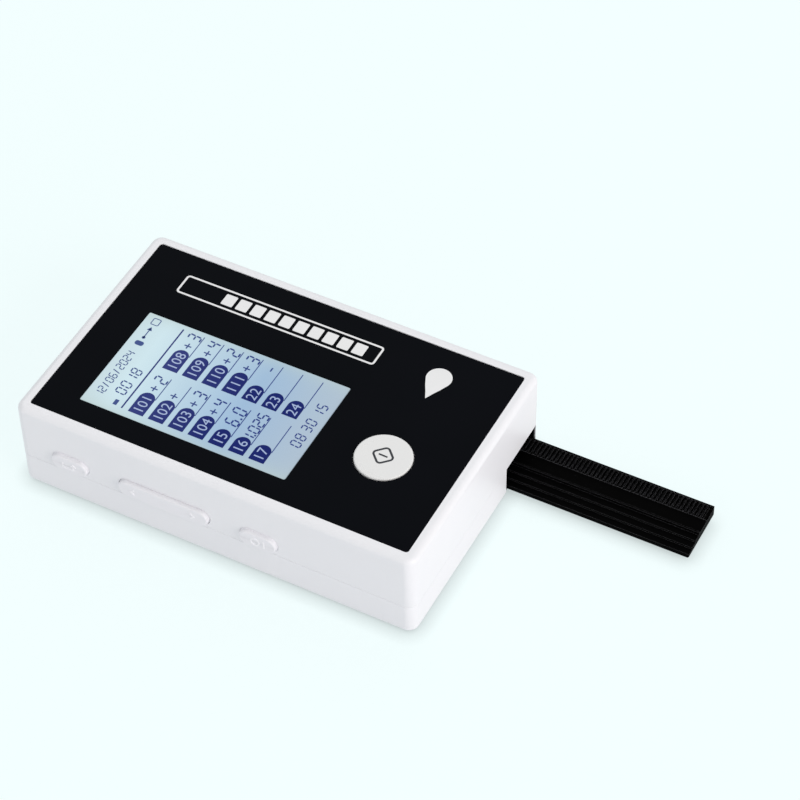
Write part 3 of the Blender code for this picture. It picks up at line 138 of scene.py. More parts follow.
def newGroup(name, inputs, output, outputKind="NodeSocketFloat"):
    # inputs are (name, value) pairs, a colour where the value is a tuple
    group = bpy.data.node_groups.new(name, "ShaderNodeTree")
    for label, value in inputs:
        kind = "NodeSocketColor" if isinstance(value, tuple) else "NodeSocketFloat"
        socket = group.interface.new_socket(name=label, in_out="INPUT", socket_type=kind)
        socket.default_value = value
    group.interface.new_socket(name=output, in_out="OUTPUT", socket_type=outputKind)
    return group, group.nodes.new("NodeGroupInput"), group.nodes.new("NodeGroupOutput")


def makeMouldGrain():
    # the fine spark-eroded grain that a mould leaves on plastic
    look = grainLook
    group, given, out = newGroup("mouldGrain", [("Scale", look["scale"])], "Height")
    place, scale = objectPlace(group), given.outputs["Scale"]
    fine = noise(group, place, scale, look["detail"], look["rough"])
    height = maths(group, "MULTIPLY_ADD", cellDots(group, place, scale), look["pitDepth"], fine)
    feed(group, height, out.inputs["Height"])
    return group


def makeColourDrift():
    # slow changes of tone over a surface
    look = driftLook
    group, given, out = newGroup("colourDrift", [
        ("Colour", (0.8, 0.8, 0.8, 1.0)), ("Deeper", (0.7, 0.7, 0.7, 1.0)), ("Scale", look["scale"]),
        ("Amount", look["amount"])], "Colour", "NodeSocketColor")
    slow = noise(group, objectPlace(group), given.outputs["Scale"], look["detail"], look["rough"])
    spread = maths(group, "SUBTRACT", slow, look["start"])
    spread = maths(group, "MULTIPLY", spread, look["contrast"], clamp=True)
    share = maths(group, "MULTIPLY", spread, given.outputs["Amount"], clamp=True)
    drifted = mixColour(group, share, given.outputs["Colour"], given.outputs["Deeper"])
    feed(group, drifted, out.inputs["Colour"])
    return group


def makePaintedEdgeHighlight():
    # a painted highlight: edges are painted paler where the surface bends
    look = edgeHighlightLook
    group, given, out = newGroup("paintedEdgeHighlight", [("Strength", look["strength"])], "Mask")
    soft = node(group, "ShaderNodeBevel", samples=look["samples"])
    soft.inputs["Radius"].default_value = look["radius"] * mm
    product = node(group, "ShaderNodeVectorMath", operation="DOT_PRODUCT")
    feed(group, soft.outputs["Normal"], product.inputs[0])
    feed(group, node(group, "ShaderNodeNewGeometry").outputs["Normal"], product.inputs[1])
    bent = maths(group, "SUBTRACT", 1.0, product.outputs["Value"])
    feed(group, maths(group, "MULTIPLY", bent, given.outputs["Strength"], clamp=True), out.inputs["Mask"])
    return group


def makeGlossDrift():
    # roughness that changes a little, as on a handled surface
    look = glossLook
    group, given, out = newGroup(
        "glossDrift", [("Low", look["low"]), ("High", look["high"]), ("Scale", look["scale"])], "Roughness")
    slow = noise(group, objectPlace(group), given.outputs["Scale"], look["detail"], look["rough"])
    width = maths(group, "SUBTRACT", given.outputs["High"], given.outputs["Low"])
    rise = maths(group, "MULTIPLY", slow, width)
    feed(group, maths(group, "ADD", rise, given.outputs["Low"]), out.inputs["Roughness"])
    return group


mouldGrain = makeMouldGrain()
colourDrift = makeColourDrift()
paintedEdgeHighlight = makePaintedEdgeHighlight()
glossDrift = makeGlossDrift()
print("material effects made")


# materials: colours as seen on a screen, depths in millimetres

def rgb(red, green, blue):
    # screen colour to the shader's linear colour
    return tuple((v / 255 / 12.92) if v <= 10 else ((v / 255 + 0.055) / 1.055) ** 2.4
                 for v in (red, green, blue)) + (1.0,)


def newMaterial(name, **fixed):
    material = bpy.data.materials.new(name)
    material.use_nodes = True
    shader = material.node_tree.nodes["Principled BSDF"]
    for label, value in fixed.items():
        shader.inputs[label].default_value = value
    return material, material.node_tree, shader


def effect(tree, group, **values):
    made = node(tree, "ShaderNodeGroup", node_tree=group)
    for label, value in values.items():
        feed(tree, value, made.inputs[label])
    return made.outputs[0]


def tone(tree, colour, deeper, scale, amount):
    return effect(tree, colourDrift, Colour=colour, Deeper=deeper, Scale=scale, Amount=amount)


def setGloss(tree, shader, low, high, scale):
    feed(tree, effect(tree, glossDrift, Low=low, High=high, Scale=scale), shader.inputs["Roughness"])


def bump(tree, shader, height, depth):
    made = node(tree, "ShaderNodeBump")
    made.inputs["Distance"].default_value = depth * mm
    made.inputs["Strength"].default_value = 1.0
    feed(tree, height, made.inputs["Height"])
    feed(tree, made.outputs["Normal"], shader.inputs["Normal"])


plasticLook = {"driftScale": 45.0, "driftAmount": 0.5, "glossScale": 90.0}


def mouldedPlastic(name, colour, deeper, gloss, grain, depth=0.012, edge=None, **fixed):
    # edge is the colour of the painted highlight on edges and how strongly it shows
    look = plasticLook
    material, tree, shader = newMaterial(name, **fixed)
    paint = tone(tree, colour, deeper, look["driftScale"], look["driftAmount"])
    if edge:
        edgeHighlightColour, strength = edge
        paint = mixColour(tree, effect(tree, paintedEdgeHighlight, Strength=strength), paint, edgeHighlightColour)
    feed(tree, paint, shader.inputs["Base Color"])
    setGloss(tree, shader, *gloss, look["glossScale"])
    bump(tree, shader, effect(tree, mouldGrain, Scale=grain), depth)
    return material


whiteShell = mouldedPlastic("whiteShell", rgb(241, 241, 244), rgb(237, 238, 242), (0.36, 0.46), 2400.0)
keyWhite = mouldedPlastic("keyWhite", rgb(241, 240, 244), rgb(238, 238, 242), (0.34, 0.42), 2800.0)
buttonWhite = mouldedPlastic("buttonWhite", rgb(234, 234, 233), rgb(230, 230, 229), (0.28, 0.36), 3000.0,
                             depth=0.004)
# the key signs are painted paler than the caps, a painted highlight for their raised relief
keySignPaintedHighlight = mouldedPlastic("keySignPaintedHighlight", rgb(250, 249, 252), rgb(247, 247, 250), (0.3, 0.38), 3000.0,
                              depth=0.004)
# the paler edge colours given to the tray, guide, inner parts and feet are painted highlights
trayBlack = mouldedPlastic("trayBlack", rgb(4, 4, 4), rgb(2, 2, 3), (0.42, 0.55), 2200.0,
                           edge=(rgb(110, 110, 114), 2.2), **{"Specular IOR Level": 0.01})
guideBlack = mouldedPlastic("guideBlack", rgb(7, 8, 10), rgb(4, 4, 6), (0.4, 0.5), 2200.0,
                            edge=(rgb(60, 63, 68), 1.6), **{"Specular IOR Level": 0.02})
innerBlack = mouldedPlastic("innerBlack", rgb(30, 31, 33), rgb(22, 23, 25), (0.45, 0.6), 1800.0,
                            edge=(rgb(60, 61, 64), 1.5))
gearPlastic = mouldedPlastic("gearPlastic", rgb(236, 233, 222), rgb(226, 222, 208), (0.3, 0.42), 2600.0,
                             depth=0.006, **{"Subsurface Weight": 0.08, "Subsurface Scale": 0.001})
footRubber = mouldedPlastic("footRubber", rgb(58, 59, 62), rgb(44, 45, 48), (0.7, 0.85), 1500.0,
                            depth=0.03, edge=(rgb(90, 91, 94), 1.6))
buttonInk = mouldedPlastic("buttonInk", rgb(32, 36, 44), rgb(26, 30, 38), (0.4, 0.5), 3000.0, depth=0.004)
panelInk = mouldedPlastic("panelInk", rgb(240, 240, 240), rgb(232, 232, 233), (0.45, 0.55), 3000.0,
                          depth=0.004)


panelLook = {"colour": rgb(9, 11, 16), "deeper": rgb(7, 9, 13), "driftScale": 30.0, "driftAmount": 0.7,
             "gloss": (0.34, 0.46), "glossScale": 60.0, "grain": 5200.0, "depth": 0.004, "shine": 0.02}


def makePanelBlack():
    # a printed polycarbonate sheet with a velvet lacquer
    look = panelLook
    material, tree, shader = newMaterial("panelBlack", **{"Specular IOR Level": look["shine"]})
    paint = tone(tree, look["colour"], look["deeper"], look["driftScale"], look["driftAmount"])
    feed(tree, paint, shader.inputs["Base Color"])
    setGloss(tree, shader, *look["gloss"], look["glossScale"])
    bump(tree, shader, effect(tree, mouldGrain, Scale=look["grain"]), look["depth"])
    return material


displayLook = {
    "upperEnd": rgb(204, 225, 232), "paintedSheenPart": rgb(210, 234, 242), "upperPlace": 0.12,
    "lowerPart": rgb(160, 190, 219), "lowerPlace": 0.64, "lowerEnd": rgb(176, 194, 211),
    "edge": rgb(190, 208, 205), "edgeShare": 0.5, "edgePower": 6.0,
    "cloudScale": 38.0, "cloudMiddle": 0.45, "cloudShare": 0.35,
    "litStrength": 0.42, "ownShare": 0.6, "roughness": 0.26, "shine": 0.14,
}


def makeDisplayGlow():
    # a backlit display: pale at its upper end, where a sheen is painted into the real backlight glow, bluer
    # further down, greener at its edges
    look = displayLook
    material, tree, shader = newMaterial("displayGlow", **{
        "Roughness": look["roughness"], "Specular IOR Level": look["shine"],
        "Emission Strength": look["litStrength"]})
    low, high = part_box("lcd_glass")
    ramp = node(tree, "ShaderNodeValToRGB")
    stops = ramp.color_ramp.elements
    stops[0].color, stops[1].color = look["upperEnd"], look["lowerEnd"]
    # the bright colour near the upper end is a painted sheen
    stops.new(look["upperPlace"]).color = look["paintedSheenPart"]
    stops.new(look["lowerPlace"]).color = look["lowerPart"]
    feed(tree, fade(tree, placeAlong(tree, "X"), low[0], high[0]), ramp.inputs["Fac"])
    across = fade(tree, placeAlong(tree, "Y"), low[1], high[1])
    fromMiddle = maths(tree, "ABSOLUTE", maths(tree, "SUBTRACT", across, 0.5))
    nearEdge = maths(tree, "POWER", maths(tree, "MULTIPLY", fromMiddle, 2.0), look["edgePower"])
    cloud = noise(tree, objectPlace(tree), look["cloudScale"])
    cloudy = maths(tree, "MULTIPLY", maths(tree, "SUBTRACT", cloud, look["cloudMiddle"]), look["cloudShare"])
    greyer = maths(tree, "ADD", maths(tree, "MULTIPLY", nearEdge, look["edgeShare"]), cloudy, clamp=True)
    glow = mixColour(tree, greyer, ramp.outputs["Color"], look["edge"])
    feed(tree, glow, shader.inputs["Emission Color"])
    feed(tree, mixColour(tree, look["ownShare"], black, glow), shader.inputs["Base Color"])
    return material


inkLook = {"upperEnd": 34.0, "lowerEnd": 6.0, "driftScale": 70.0, "driftAmount": 0.5, "roughness": 0.3,
           "shine": 0.1}


def makeDisplayInk(name, upper, lower):
    # dark liquid crystal, deeper towards the lower end of the display; the marks' own y runs up the page
    look = inkLook
    material, tree, shader = newMaterial(name, **{
        "Roughness": look["roughness"], "Specular IOR Level": look["shine"]})
    down = fade(tree, placeAlong(tree, "Y"), look["upperEnd"] * mm, look["lowerEnd"] * mm)
    paint = tone(tree, mixColour(tree, down, upper, lower), lower, look["driftScale"], look["driftAmount"])
    feed(tree, paint, shader.inputs["Base Color"])
    return material


diffuserLook = {"colour": rgb(240, 243, 246), "deeper": rgb(226, 232, 238), "driftScale": 50.0,
                "driftAmount": 0.5, "roughness": 0.5, "dotScale": 900.0, "depth": 0.02}


def makeDiffuser():
    look = diffuserLook
    material, tree, shader = newMaterial("diffuserWhite", **{
        "Roughness": look["roughness"], "Subsurface Weight": 0.2, "Subsurface Scale": 0.002})
    paint = tone(tree, look["colour"], look["deeper"], look["driftScale"], look["driftAmount"])
    feed(tree, paint, shader.inputs["Base Color"])
    bump(tree, shader, cellDots(tree, objectPlace(tree), look["dotScale"]), look["depth"])
    return material


boardLook = {"mask": rgb(18, 84, 52), "maskDeep": rgb(12, 66, 42), "driftScale": 80.0, "driftAmount": 0.8,
             "track": rgb(34, 118, 74), "trackPitch": 420.0, "trackLine": 0.06, "patchScale": 150.0,
             "trackShare": 0.58, "gloss": (0.3, 0.42), "glossScale": 120.0, "depth": 0.03, "shine": 0.5}


def makeCircuitBoard():
    # green solder mask with paler copper tracks under it
    look = boardLook
    material, tree, shader = newMaterial("circuitBoard", **{"Specular IOR Level": look["shine"]})
    place = objectPlace(tree)
    cells = node(tree, "ShaderNodeTexBrick", offset=0.5)
    cells.inputs["Scale"].default_value = look["trackPitch"]
    cells.inputs["Mortar Size"].default_value = look["trackLine"]
    feed(tree, place, cells.inputs["Vector"])
    patches = maths(tree, "GREATER_THAN", noise(tree, place, look["patchScale"], 0.0), look["trackShare"])
    tracks = maths(tree, "MULTIPLY", cells.outputs["Fac"], patches)
    mask = tone(tree, look["mask"], look["maskDeep"], look["driftScale"], look["driftAmount"])
    feed(tree, mixColour(tree, tracks, mask, look["track"]), shader.inputs["Base Color"])
    setGloss(tree, shader, *look["gloss"], look["glossScale"])
    bump(tree, shader, tracks, look["depth"])
    return material


metalLook = {"driftScale": 120.0, "driftAmount": 0.7, "glossScale": 300.0, "lineDetail": 3.0,
             "depth": 0.006}


def makeBareMetal(name, colour, deeper, gloss, brushed):
    # turned or rolled metal with fine lines along one way
    look = metalLook
    material, tree, shader = newMaterial(name, **{"Metallic": 1.0})
    paint = tone(tree, colour, deeper, look["driftScale"], look["driftAmount"])
    feed(tree, paint, shader.inputs["Base Color"])
    setGloss(tree, shader, *gloss, look["glossScale"])
    bump(tree, shader, stretchedNoise(tree, brushed, look["lineDetail"]), look["depth"])
    return material


wrapLook = {"colour": rgb(74, 118, 178), "deeper": rgb(58, 98, 158), "driftScale": 50.0, "driftAmount": 0.8,
            "gloss": (0.28, 0.5), "glossScale": 140.0, "shine": 0.5, "wrinkles": (140.0, 700.0, 700.0),
            "wrinkleDetail": 2.0, "depth": 0.12}


def makeBatteryWrap():
    # shrunk sleeve with soft wrinkles
    look = wrapLook
    material, tree, shader = newMaterial("batteryWrap", **{"Specular IOR Level": look["shine"]})
    paint = tone(tree, look["colour"], look["deeper"], look["driftScale"], look["driftAmount"])
    feed(tree, paint, shader.inputs["Base Color"])
    setGloss(tree, shader, *look["gloss"], look["glossScale"])
    bump(tree, shader, stretchedNoise(tree, look["wrinkles"], look["wrinkleDetail"]), look["depth"])
    return material


panelBlack = makePanelBlack()
displayGlow = makeDisplayGlow()
displayInk = makeDisplayInk("displayInk", rgb(52, 62, 130), rgb(8, 28, 108))
digitInk = makeDisplayInk("digitInk", rgb(72, 90, 146), rgb(44, 64, 138))
labelInk = makeDisplayInk("labelInk", rgb(178, 194, 226), rgb(168, 186, 222))
diffuserWhite = makeDiffuser()
circuitBoard = makeCircuitBoard()
brightSteel = makeBareMetal("brightSteel", rgb(206, 207, 210), rgb(180, 182, 187), (0.2, 0.34),
                            (900, 900, 9000))
canSteel = makeBareMetal("canSteel", rgb(190, 191, 194), rgb(166, 168, 172), (0.28, 0.4),
                         (400, 7000, 7000))
socketSteel = makeBareMetal("socketSteel", rgb(200, 200, 202), rgb(176, 177, 180), (0.22, 0.36),
                            (6000, 900, 900))
batteryWrap = makeBatteryWrap()
print("materials made")


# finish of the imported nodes: for each material the width of its softened edges, then the nodes that have it

def four(name):
    return [f"{name}_{number}" for number in range(1, 5)]


nodeFinish = {
    whiteShell: (0.04, ["top_cover", "base_cover"]),
    panelBlack: (0.05, ["front_panel"]),
    displayGlow: (0.0, ["lcd_glass"]),
    diffuserWhite: (0.0, ["lcd_backlight"]),
    buttonWhite: (0.0, ["start_button"]),
    keyWhite: (0.0, ["return_key", "rocker_key", "confirm_key"]),
    trayBlack: (0.05, ["tray"]),
    guideBlack: (0.06, ["tray_guide"]),
    footRubber: (0.12, four("foot")),
    innerBlack: (0.0, ["lcd_frame", "start_switch", "gear_bracket", "optical_head", "buzzer"]
                 + four("key_switch")),
    circuitBoard: (0.0, ["main_board", "key_board", "sensor_board"]),
    gearPlastic: (0.0, ["rack_pinion", "reduction_gear", "motor_gear"]),
    brightSteel: (0.0, ["pinion_shaft", "reduction_shaft"] + four("board_screw") + four("housing_screw")),
    canSteel: (0.0, ["drive_motor"]),
    socketSteel: (0.0, ["usb_socket"]),
    batteryWrap: (0.0, ["battery"]),
}
shadingLook = {"weldReach": 0.002, "sharpAngle": 36, "softSteps": 2, "softAngle": 40, "faceWeight": 80}


def makeSmoothShading():
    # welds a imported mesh, shades it smooth and keeps its real edges sharp
    group = bpy.data.node_groups.new("smoothShading", "GeometryNodeTree")
    group.interface.new_socket(name="Mesh", in_out="INPUT", socket_type="NodeSocketGeometry")
    angle = group.interface.new_socket(name="Sharp Angle", in_out="INPUT", socket_type="NodeSocketFloat")
    angle.default_value = math.radians(shadingLook["sharpAngle"])
    group.interface.new_socket(name="Mesh", in_out="OUTPUT", socket_type="NodeSocketGeometry")
    given, out = group.nodes.new("NodeGroupInput"), group.nodes.new("NodeGroupOutput")
    weld = node(group, "GeometryNodeMergeByDistance")
    weld.inputs["Distance"].default_value = shadingLook["weldReach"] * mm
    faces = node(group, "GeometryNodeSetShadeSmooth", domain="FACE")
    faces.inputs["Shade Smooth"].default_value = True
    edges = node(group, "GeometryNodeSetShadeSmooth", domain="EDGE")
    edges.inputs["Shade Smooth"].default_value = False
    fold = node(group, "GeometryNodeInputMeshEdgeAngle")
    sharp = node(group, "FunctionNodeCompare", data_type="FLOAT", operation="GREATER_THAN")
    for source, socket in (
            (given.outputs["Mesh"], weld.inputs["Geometry"]),
            (weld.outputs["Geometry"], faces.inputs["Geometry"]),
            (faces.outputs["Geometry"], edges.inputs["Geometry"]),
            (fold.outputs["Unsigned Angle"], sharp.inputs[0]),
            (given.outputs["Sharp Angle"], sharp.inputs[1]),
            (sharp.outputs["Result"], edges.inputs["Selection"]),
            (edges.outputs["Geometry"], out.inputs["Mesh"])):
        group.links.new(source, socket)
    return group


smoothShading = makeSmoothShading()


def finishNode(name, material, softness):
    look = shadingLook
    shown = nodes[name]
    shown.data.materials.clear()
    shown.data.materials.append(material)
    smooth = shown.modifiers.new("smoothShading", "NODES")
    smooth.node_group = smoothShading
    if softness > 0:
        soften = shown.modifiers.new("softEdges", "BEVEL")
        soften.width = softness * mm
        soften.segments = look["softSteps"]
        soften.limit_method = "ANGLE"
        soften.angle_limit = math.radians(look["softAngle"])
        soften.use_clamp_overlap = False
        soften.harden_normals = False
    even = shown.modifiers.new("evenShading", "WEIGHTED_NORMAL")
    even.mode = "FACE_AREA"
    even.weight = look["faceWeight"]
    even.keep_sharp = softness == 0


finished = 0
for material, (softness, names) in nodeFinish.items():
    for name in names:
        finishNode(name, material, softness)
        finished += 1
print("nodes finished:", finished, "of", len(nodes))


# outlines, as lists of (x, y) in millimetres

def arcPoints(x, y, radius, start, end, steps):
    return [(x + radius * math.cos(math.radians(start + (end - start) * s / steps)),
             y + radius * math.sin(math.radians(start + (end - start) * s / steps)))
            for s in range(steps + 1)]


def roundedBox(width, height, radius, x=0.0, y=0.0, steps=5):
    points = []
    for cornerX, cornerY, start in ((1, 1, 0), (-1, 1, 90), (-1, -1, 180), (1, -1, 270)):
        points += arcPoints(x + cornerX * (width / 2 - radius), y + cornerY * (height / 2 - radius),
                            radius, start, start + 90, steps)
    return points


def turned(points, turn):
    c, s = math.cos(math.radians(turn)), math.sin(math.radians(turn))
    return [(x * c - y * s, x * s + y * c) for x, y in points]


def strokeOutline(points, line, sharpestMitre=0.4):
    # one closed outline of even width along a bent line, with mitred bends
    left, right = [], []
    for number, (x, y) in enumerate(points):
        before = Vector(points[max(number - 1, 0)])
        here = Vector((x, y))
        after = Vector(points[min(number + 1, len(points) - 1)])
        come = (here - before).normalized() if number > 0 else (after - here).normalized()
        leave = (after - here).normalized() if number < len(points) - 1 else come
        across = Vector((-come.y - leave.y, come.x + leave.x)).normalized()
        reach = line / 2 / max(across.dot(Vector((-come.y, come.x))), sharpestMitre)
        left.append(tuple(here + across * reach))
        right.append(tuple(here - across * reach))
    return left + right[::-1]


# thin pieces made from outlines

def newObject(name, data):
    made = bpy.data.objects.new(name, data)
    bpy.context.scene.collection.objects.link(made)
    return made


def pieceFrom(bm, name, material):
    mesh = bpy.data.meshes.new(name)
    bm.to_mesh(mesh)
    bm.free()
    mesh.materials.append(material)
    return newObject(name, mesh)


def flatPiece(name, thickness, material, plates=(), bands=()):
    # from z 0 up: plates are closed outlines, bands are (outer, inner) pairs made as one closed ring each
    bm = bmesh.new()

    def corners(points, z):
        return [bm.verts.new((x * mm, y * mm, z * mm)) for x, y in points]

    def wall(first, second):
        for number in range(len(first)):
            after = (number + 1) % len(first)
            bm.faces.new((first[number], first[after], second[after], second[number]))

    for outer, inner in bands:
        rings = [corners(outer, 0.0), corners(outer, thickness),
                 corners(inner, thickness), corners(inner, 0.0)]
        for first, second in zip(rings, rings[1:] + rings[:1]):
            wall(first, second)
    for outline in plates:
        low, high = corners(outline, 0.0), corners(outline, thickness)
        bm.faces.new(low[::-1])
        bm.faces.new(high)
        wall(low, high)
    bmesh.ops.recalc_face_normals(bm, faces=bm.faces)
    return pieceFrom(bm, name, material)


def settle(piece, place, body):
    piece.matrix_world = place
    bpy.context.view_layer.update()
    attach(piece, body)


def onTop(x, y, z, turn=0.0):
    return Matrix.Translation((x * mm, y * mm, z * mm)) @ Matrix.Rotation(math.radians(turn), 4, "Z")


def onNearSide(x, y, z):
    # marks on the near side read along +X with their top towards +Z
    return Matrix.Translation((x * mm, y * mm, z * mm)) @ Matrix.Rotation(math.radians(90), 4, "X")


# black panel: a test strip sign and a droplet, printed

stripSign = {
    "middle": (-13.3, 24.3), "turn": 180, "length": 65.0, "width": 7.6, "corner": 1.1, "line": 0.62,
    "pads": 10, "padSize": (3.7, 4.3), "padCorner": 0.35, "firstPad": -26.2, "padPitch": 4.75,
    "lift": 0.015, "thickness": 0.03,
}
dropletSign = {"middle": (38.1, 24.6), "turn": 180, "radius": 3.8, "tip": 8.6, "round": (160, 380, 22),
               "shoulder": (0.62, 0.46), "neck": (0.3, 0.72), "lift": 0.015, "thickness": 0.03}


def printOnPanel(sign, look):
    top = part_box("front_panel")[1][2] / mm
    settle(sign, onTop(*look["middle"], top + look["lift"] - look["thickness"] / 2, look["turn"]),
           "housing")


def makeStripSign():
    look = stripSign
    outline = [roundedBox(look["length"] - 2 * inset, look["width"] - 2 * inset, look["corner"] - inset)
               for inset in (0.0, look["line"])]
    pads = [roundedBox(*look["padSize"], look["padCorner"], look["firstPad"] + number * look["padPitch"])
            for number in range(look["pads"])]
    printOnPanel(flatPiece("panel_strip_sign", look["thickness"], panelInk, pads, [outline]), look)


def makeDropletSign():
    # round below, then two shoulders that draw in to the tip
    look = dropletSign
    radius, tip = look["radius"], look["tip"]
    rightSide = [(across * radius, up * tip) for across, up in (look["shoulder"], look["neck"])]
    leftSide = [(-x, y) for x, y in reversed(rightSide)]
    points = arcPoints(0, 0, radius, *look["round"]) + rightSide + [(0.0, tip)] + leftSide
    printOnPanel(flatPiece("panel_droplet_sign", look["thickness"], panelInk, [points]), look)


makeStripSign()
makeDropletSign()
print("panel signs made")


# signs of the display, made of straight segments

segmentLook = {"gap": 0.28, "slant": 0.09, "dot": 1.3, "slashStart": 0.2, "slashEnd": 0.8}
segmentNames = {"0": "abcdef", "1": "bc", "2": "abged", "3": "abgcd", "4": "fgbc", "5": "afgcd",
                "6": "afgedc", "7": "abc", "8": "abcdefg", "9": "abcdfg"}


def segmentShape(x0, y0, x1, y1, width):
    # a bar with pointed ends from one point to another
    start, end = Vector((x0, y0)), Vector((x1, y1))
    along = Vector((x1 - x0, y1 - y0))
    length = along.length
    along.normalize()
    across = Vector((-along.y, along.x)) * width / 2
    tip = along * min(width / 2, length / 3)
    return [tuple(p) for p in (start, start + tip - across, end - tip - across, end, end - tip + across,
                               start + tip + across)]


def digitShapes(sign, x, y, width, height, line):
    # x and y give the digit's lower left corner
    gap, slant = line * segmentLook["gap"], segmentLook["slant"]
    half = height / 2
    ends = {"a": (0, height, width, height), "g": (0, half, width, half), "d": (0, 0, width, 0),
            "f": (0, half, 0, height), "e": (0, 0, 0, half), "b": (width, half, width, height),
            "c": (width, 0, width, half)}
    shapes = []
    for name in segmentNames[sign]:
        x0, y0, x1, y1 = ends[name]
        if x0 == x1:
            y0, y1 = y0 + gap, y1 - gap
        else:
            x0, x1 = x0 + gap, x1 - gap
        shapes.append([(x + px + slant * py, y + py) for px, py in segmentShape(x0, y0, x1, y1, line)])
    return shapes


# display page: it reads with its top towards -X, so its own x runs along +Y and its own y along -X;
# u and v are counted in the page's unit, to the right and down from its upper left corner

pageLook = {"left": -30.0, "top": 50.0, "unit": 0.05, "turn": 90, "thickness": 0.04,
            "headRule": (88, 279.5, 769, 288.5)}

tabLook = {"tops": [327, 456, 584, 713, 842, 970, 1100], "left": 86, "right": 456, "height": 96,
           "width": 172, "shortWidth": 127, "shortFrom": 4, "roundSteps": 14,
           "ruleStart": -36, "ruleRise": 2, "ruleThickness": 5, "leftRuleEnd": 401, "rightRuleEnd": 769}

labelLook = {"place": (12, 18), "size": 4.4, "spacing": 1.05, "curveSteps": 4, "thickness": 0.02,
             "wideFirst": 101, "shortFirst": 11}

# a run of signs is set by its left, top, sign width, sign height, pitch and line
readingLook = {
    "left": ["+2", "+", "+3", "+4", "6.0", "1.025", ""], "right": ["+3", "+4", "+2", "+3", "-", "", ""],
    "bars": {"+": [(190, 41, 232, 49), (207, 23, 215, 41), (207, 49, 215, 67)], "-": [(252, 42, 282, 50)]},
    "levelRun": (262, 8, 36, 78, 50, 10),
    "shortRuns": [(170, 6, 36, 82, 60, 10), (226, 6, 36, 82, 60, 9), (256, 6, 36, 82, 60, 10)],
    "longRuns": [(118, 22, 26, 66, 40, 9), (156, 22, 26, 66, 40, 8), (176, 22, 36, 66, 53, 9)],
}
pageRuns = {
    "date": ("12/06/2024", (112, 87, 25, 50, 38, 6)), "count": ("0018", (178, 184, 34, 64, 55, 8)),
    "hours": ("08", (278, 1252, 32, 62, 54, 7.5)), "minutes": ("30", (402, 1252, 32, 62, 54, 7.5)),
    "seconds": ("15", (530, 1252, 32, 62, 54, 7.5)),
}
headSigns = {
    "countMark": (92, 222, 132, 246), "pill": (562, 112), "pillSize": (1.7, 2.7, 0.7),
    "link": (604, 111), "linkLength": 4.4, "linkLine": 0.3, "linkDot": (0.4, 0.55), "dotArc": (0, 330, 10),
    "linkArrow": (3.5, 4.9, 0.8), "frame": (748, 112), "frameSize": (2.7, 2.6, 0.5), "frameLine": 0.25,
}


def pagePoint(u, v):
    return pageLook["left"] + u * pageLook["unit"], pageLook["top"] - v * pageLook["unit"]


def pageBox(u0, v0, u1, v1):
    x0, y0 = pagePoint(u0, v0)
    x1, y1 = pagePoint(u1, v1)
    return [(x0, y1), (x1, y1), (x1, y0), (x0, y0)]


def tabShape(u, v, width, height):
    # square on its left and round on its right
    x0, y0 = pagePoint(u, v)
    x1, y1 = pagePoint(u + width, v + height)
    radius = (y0 - y1) / 2
    return [(x0, y0), (x0, y1)] + arcPoints(x1 - radius, y1 + radius, radius, -90, 90, tabLook["roundSteps"])


def runShapes(signs, run, u=0, v=0):
    left, top, width, height, pitch, line = run
    look, unit = segmentLook, pageLook["unit"]
    wide, tall, thick = width * unit, height * unit, line * unit
    dot = thick * look["dot"]
    shapes = []
    for number, sign in enumerate(signs):
        x, y = pagePoint(u + left + number * pitch, v + top + height)
        if sign == "/":
            shapes.append(segmentShape(x + wide * look["slashStart"], y, x + wide * look["slashEnd"],
                                       y + tall, thick))
        elif sign == ".":
            shapes.append([(x, y), (x + dot, y), (x + dot, y + dot), (x, y + dot)])
        else:
            shapes += digitShapes(sign, x, y, wide, tall, thick)
    return shapes


def readingShapes(text, u, v):
    # beside a tab: a plus with or without a digit, a dash, or a number with a point
    look = readingLook
    bars = look["bars"].get(text[:1], [])
    shapes = [pageBox(u + u0, v + v0, u + u1, v + v1) for u0, v0, u1, v1 in bars]
    if bars:
        return shapes + runShapes(text[1:], look["levelRun"], u, v)
    runs = look["longRuns"] if text.startswith("1.") else look["shortRuns"]
    for signs, run in zip((text[:1], text[1:2], text[2:]), runs):
        shapes += runShapes(signs, run, u, v)
    return shapes


def headShapes():
    # a mark before the count, and two plain signs for the connections
    look = headSigns
    x, y = pagePoint(*look["pill"])
    shapes = [pageBox(*look["countMark"]), roundedBox(*look["pillSize"], x, y)]
    x, y = pagePoint(*look["link"])
    dotPlace, dotRadius = look["linkDot"]
    arrowStart, arrowTip, arrowHalf = look["linkArrow"]
    return shapes + [segmentShape(x, y, x + look["linkLength"], y, look["linkLine"]),
                     arcPoints(x + dotPlace, y, dotRadius, *look["dotArc"]),
                     [(x + arrowStart, y - arrowHalf), (x + arrowTip, y), (x + arrowStart, y + arrowHalf)]]


def frameBand():
    width, height, radius = headSigns["frameSize"]
    line = headSigns["frameLine"]
    x, y = pagePoint(*headSigns["frame"])
    return roundedBox(width, height, radius, x, y), roundedBox(width - 2 * line, height - 2 * line,
                                                               radius - line, x, y)


def numberPiece(name, words, look, material):
    # plain numbers: words are (text, x, y) in millimetres
    bm = bmesh.new()
    thickness = look["thickness"] * mm
    for text, x, y in words:
        curve = bpy.data.curves.new("digits", "FONT")
        curve.body = text
        curve.size = look["size"] * mm
        curve.extrude = thickness / 2
        curve.align_x = "LEFT"
        curve.space_character = look["spacing"]
        curve.resolution_u = look["curveSteps"]
        written = newObject("digits", curve)
        bpy.context.view_layer.update()
        mesh = bpy.data.meshes.new_from_object(written.evaluated_get(bpy.context.evaluated_depsgraph_get()))
        mesh.transform(Matrix.Translation((x * mm, y * mm, thickness / 2)))
        bm.from_mesh(mesh)
        bpy.data.objects.remove(written)
        bpy.data.meshes.remove(mesh)
        bpy.data.curves.remove(curve)
    return pieceFrom(bm, name, material)


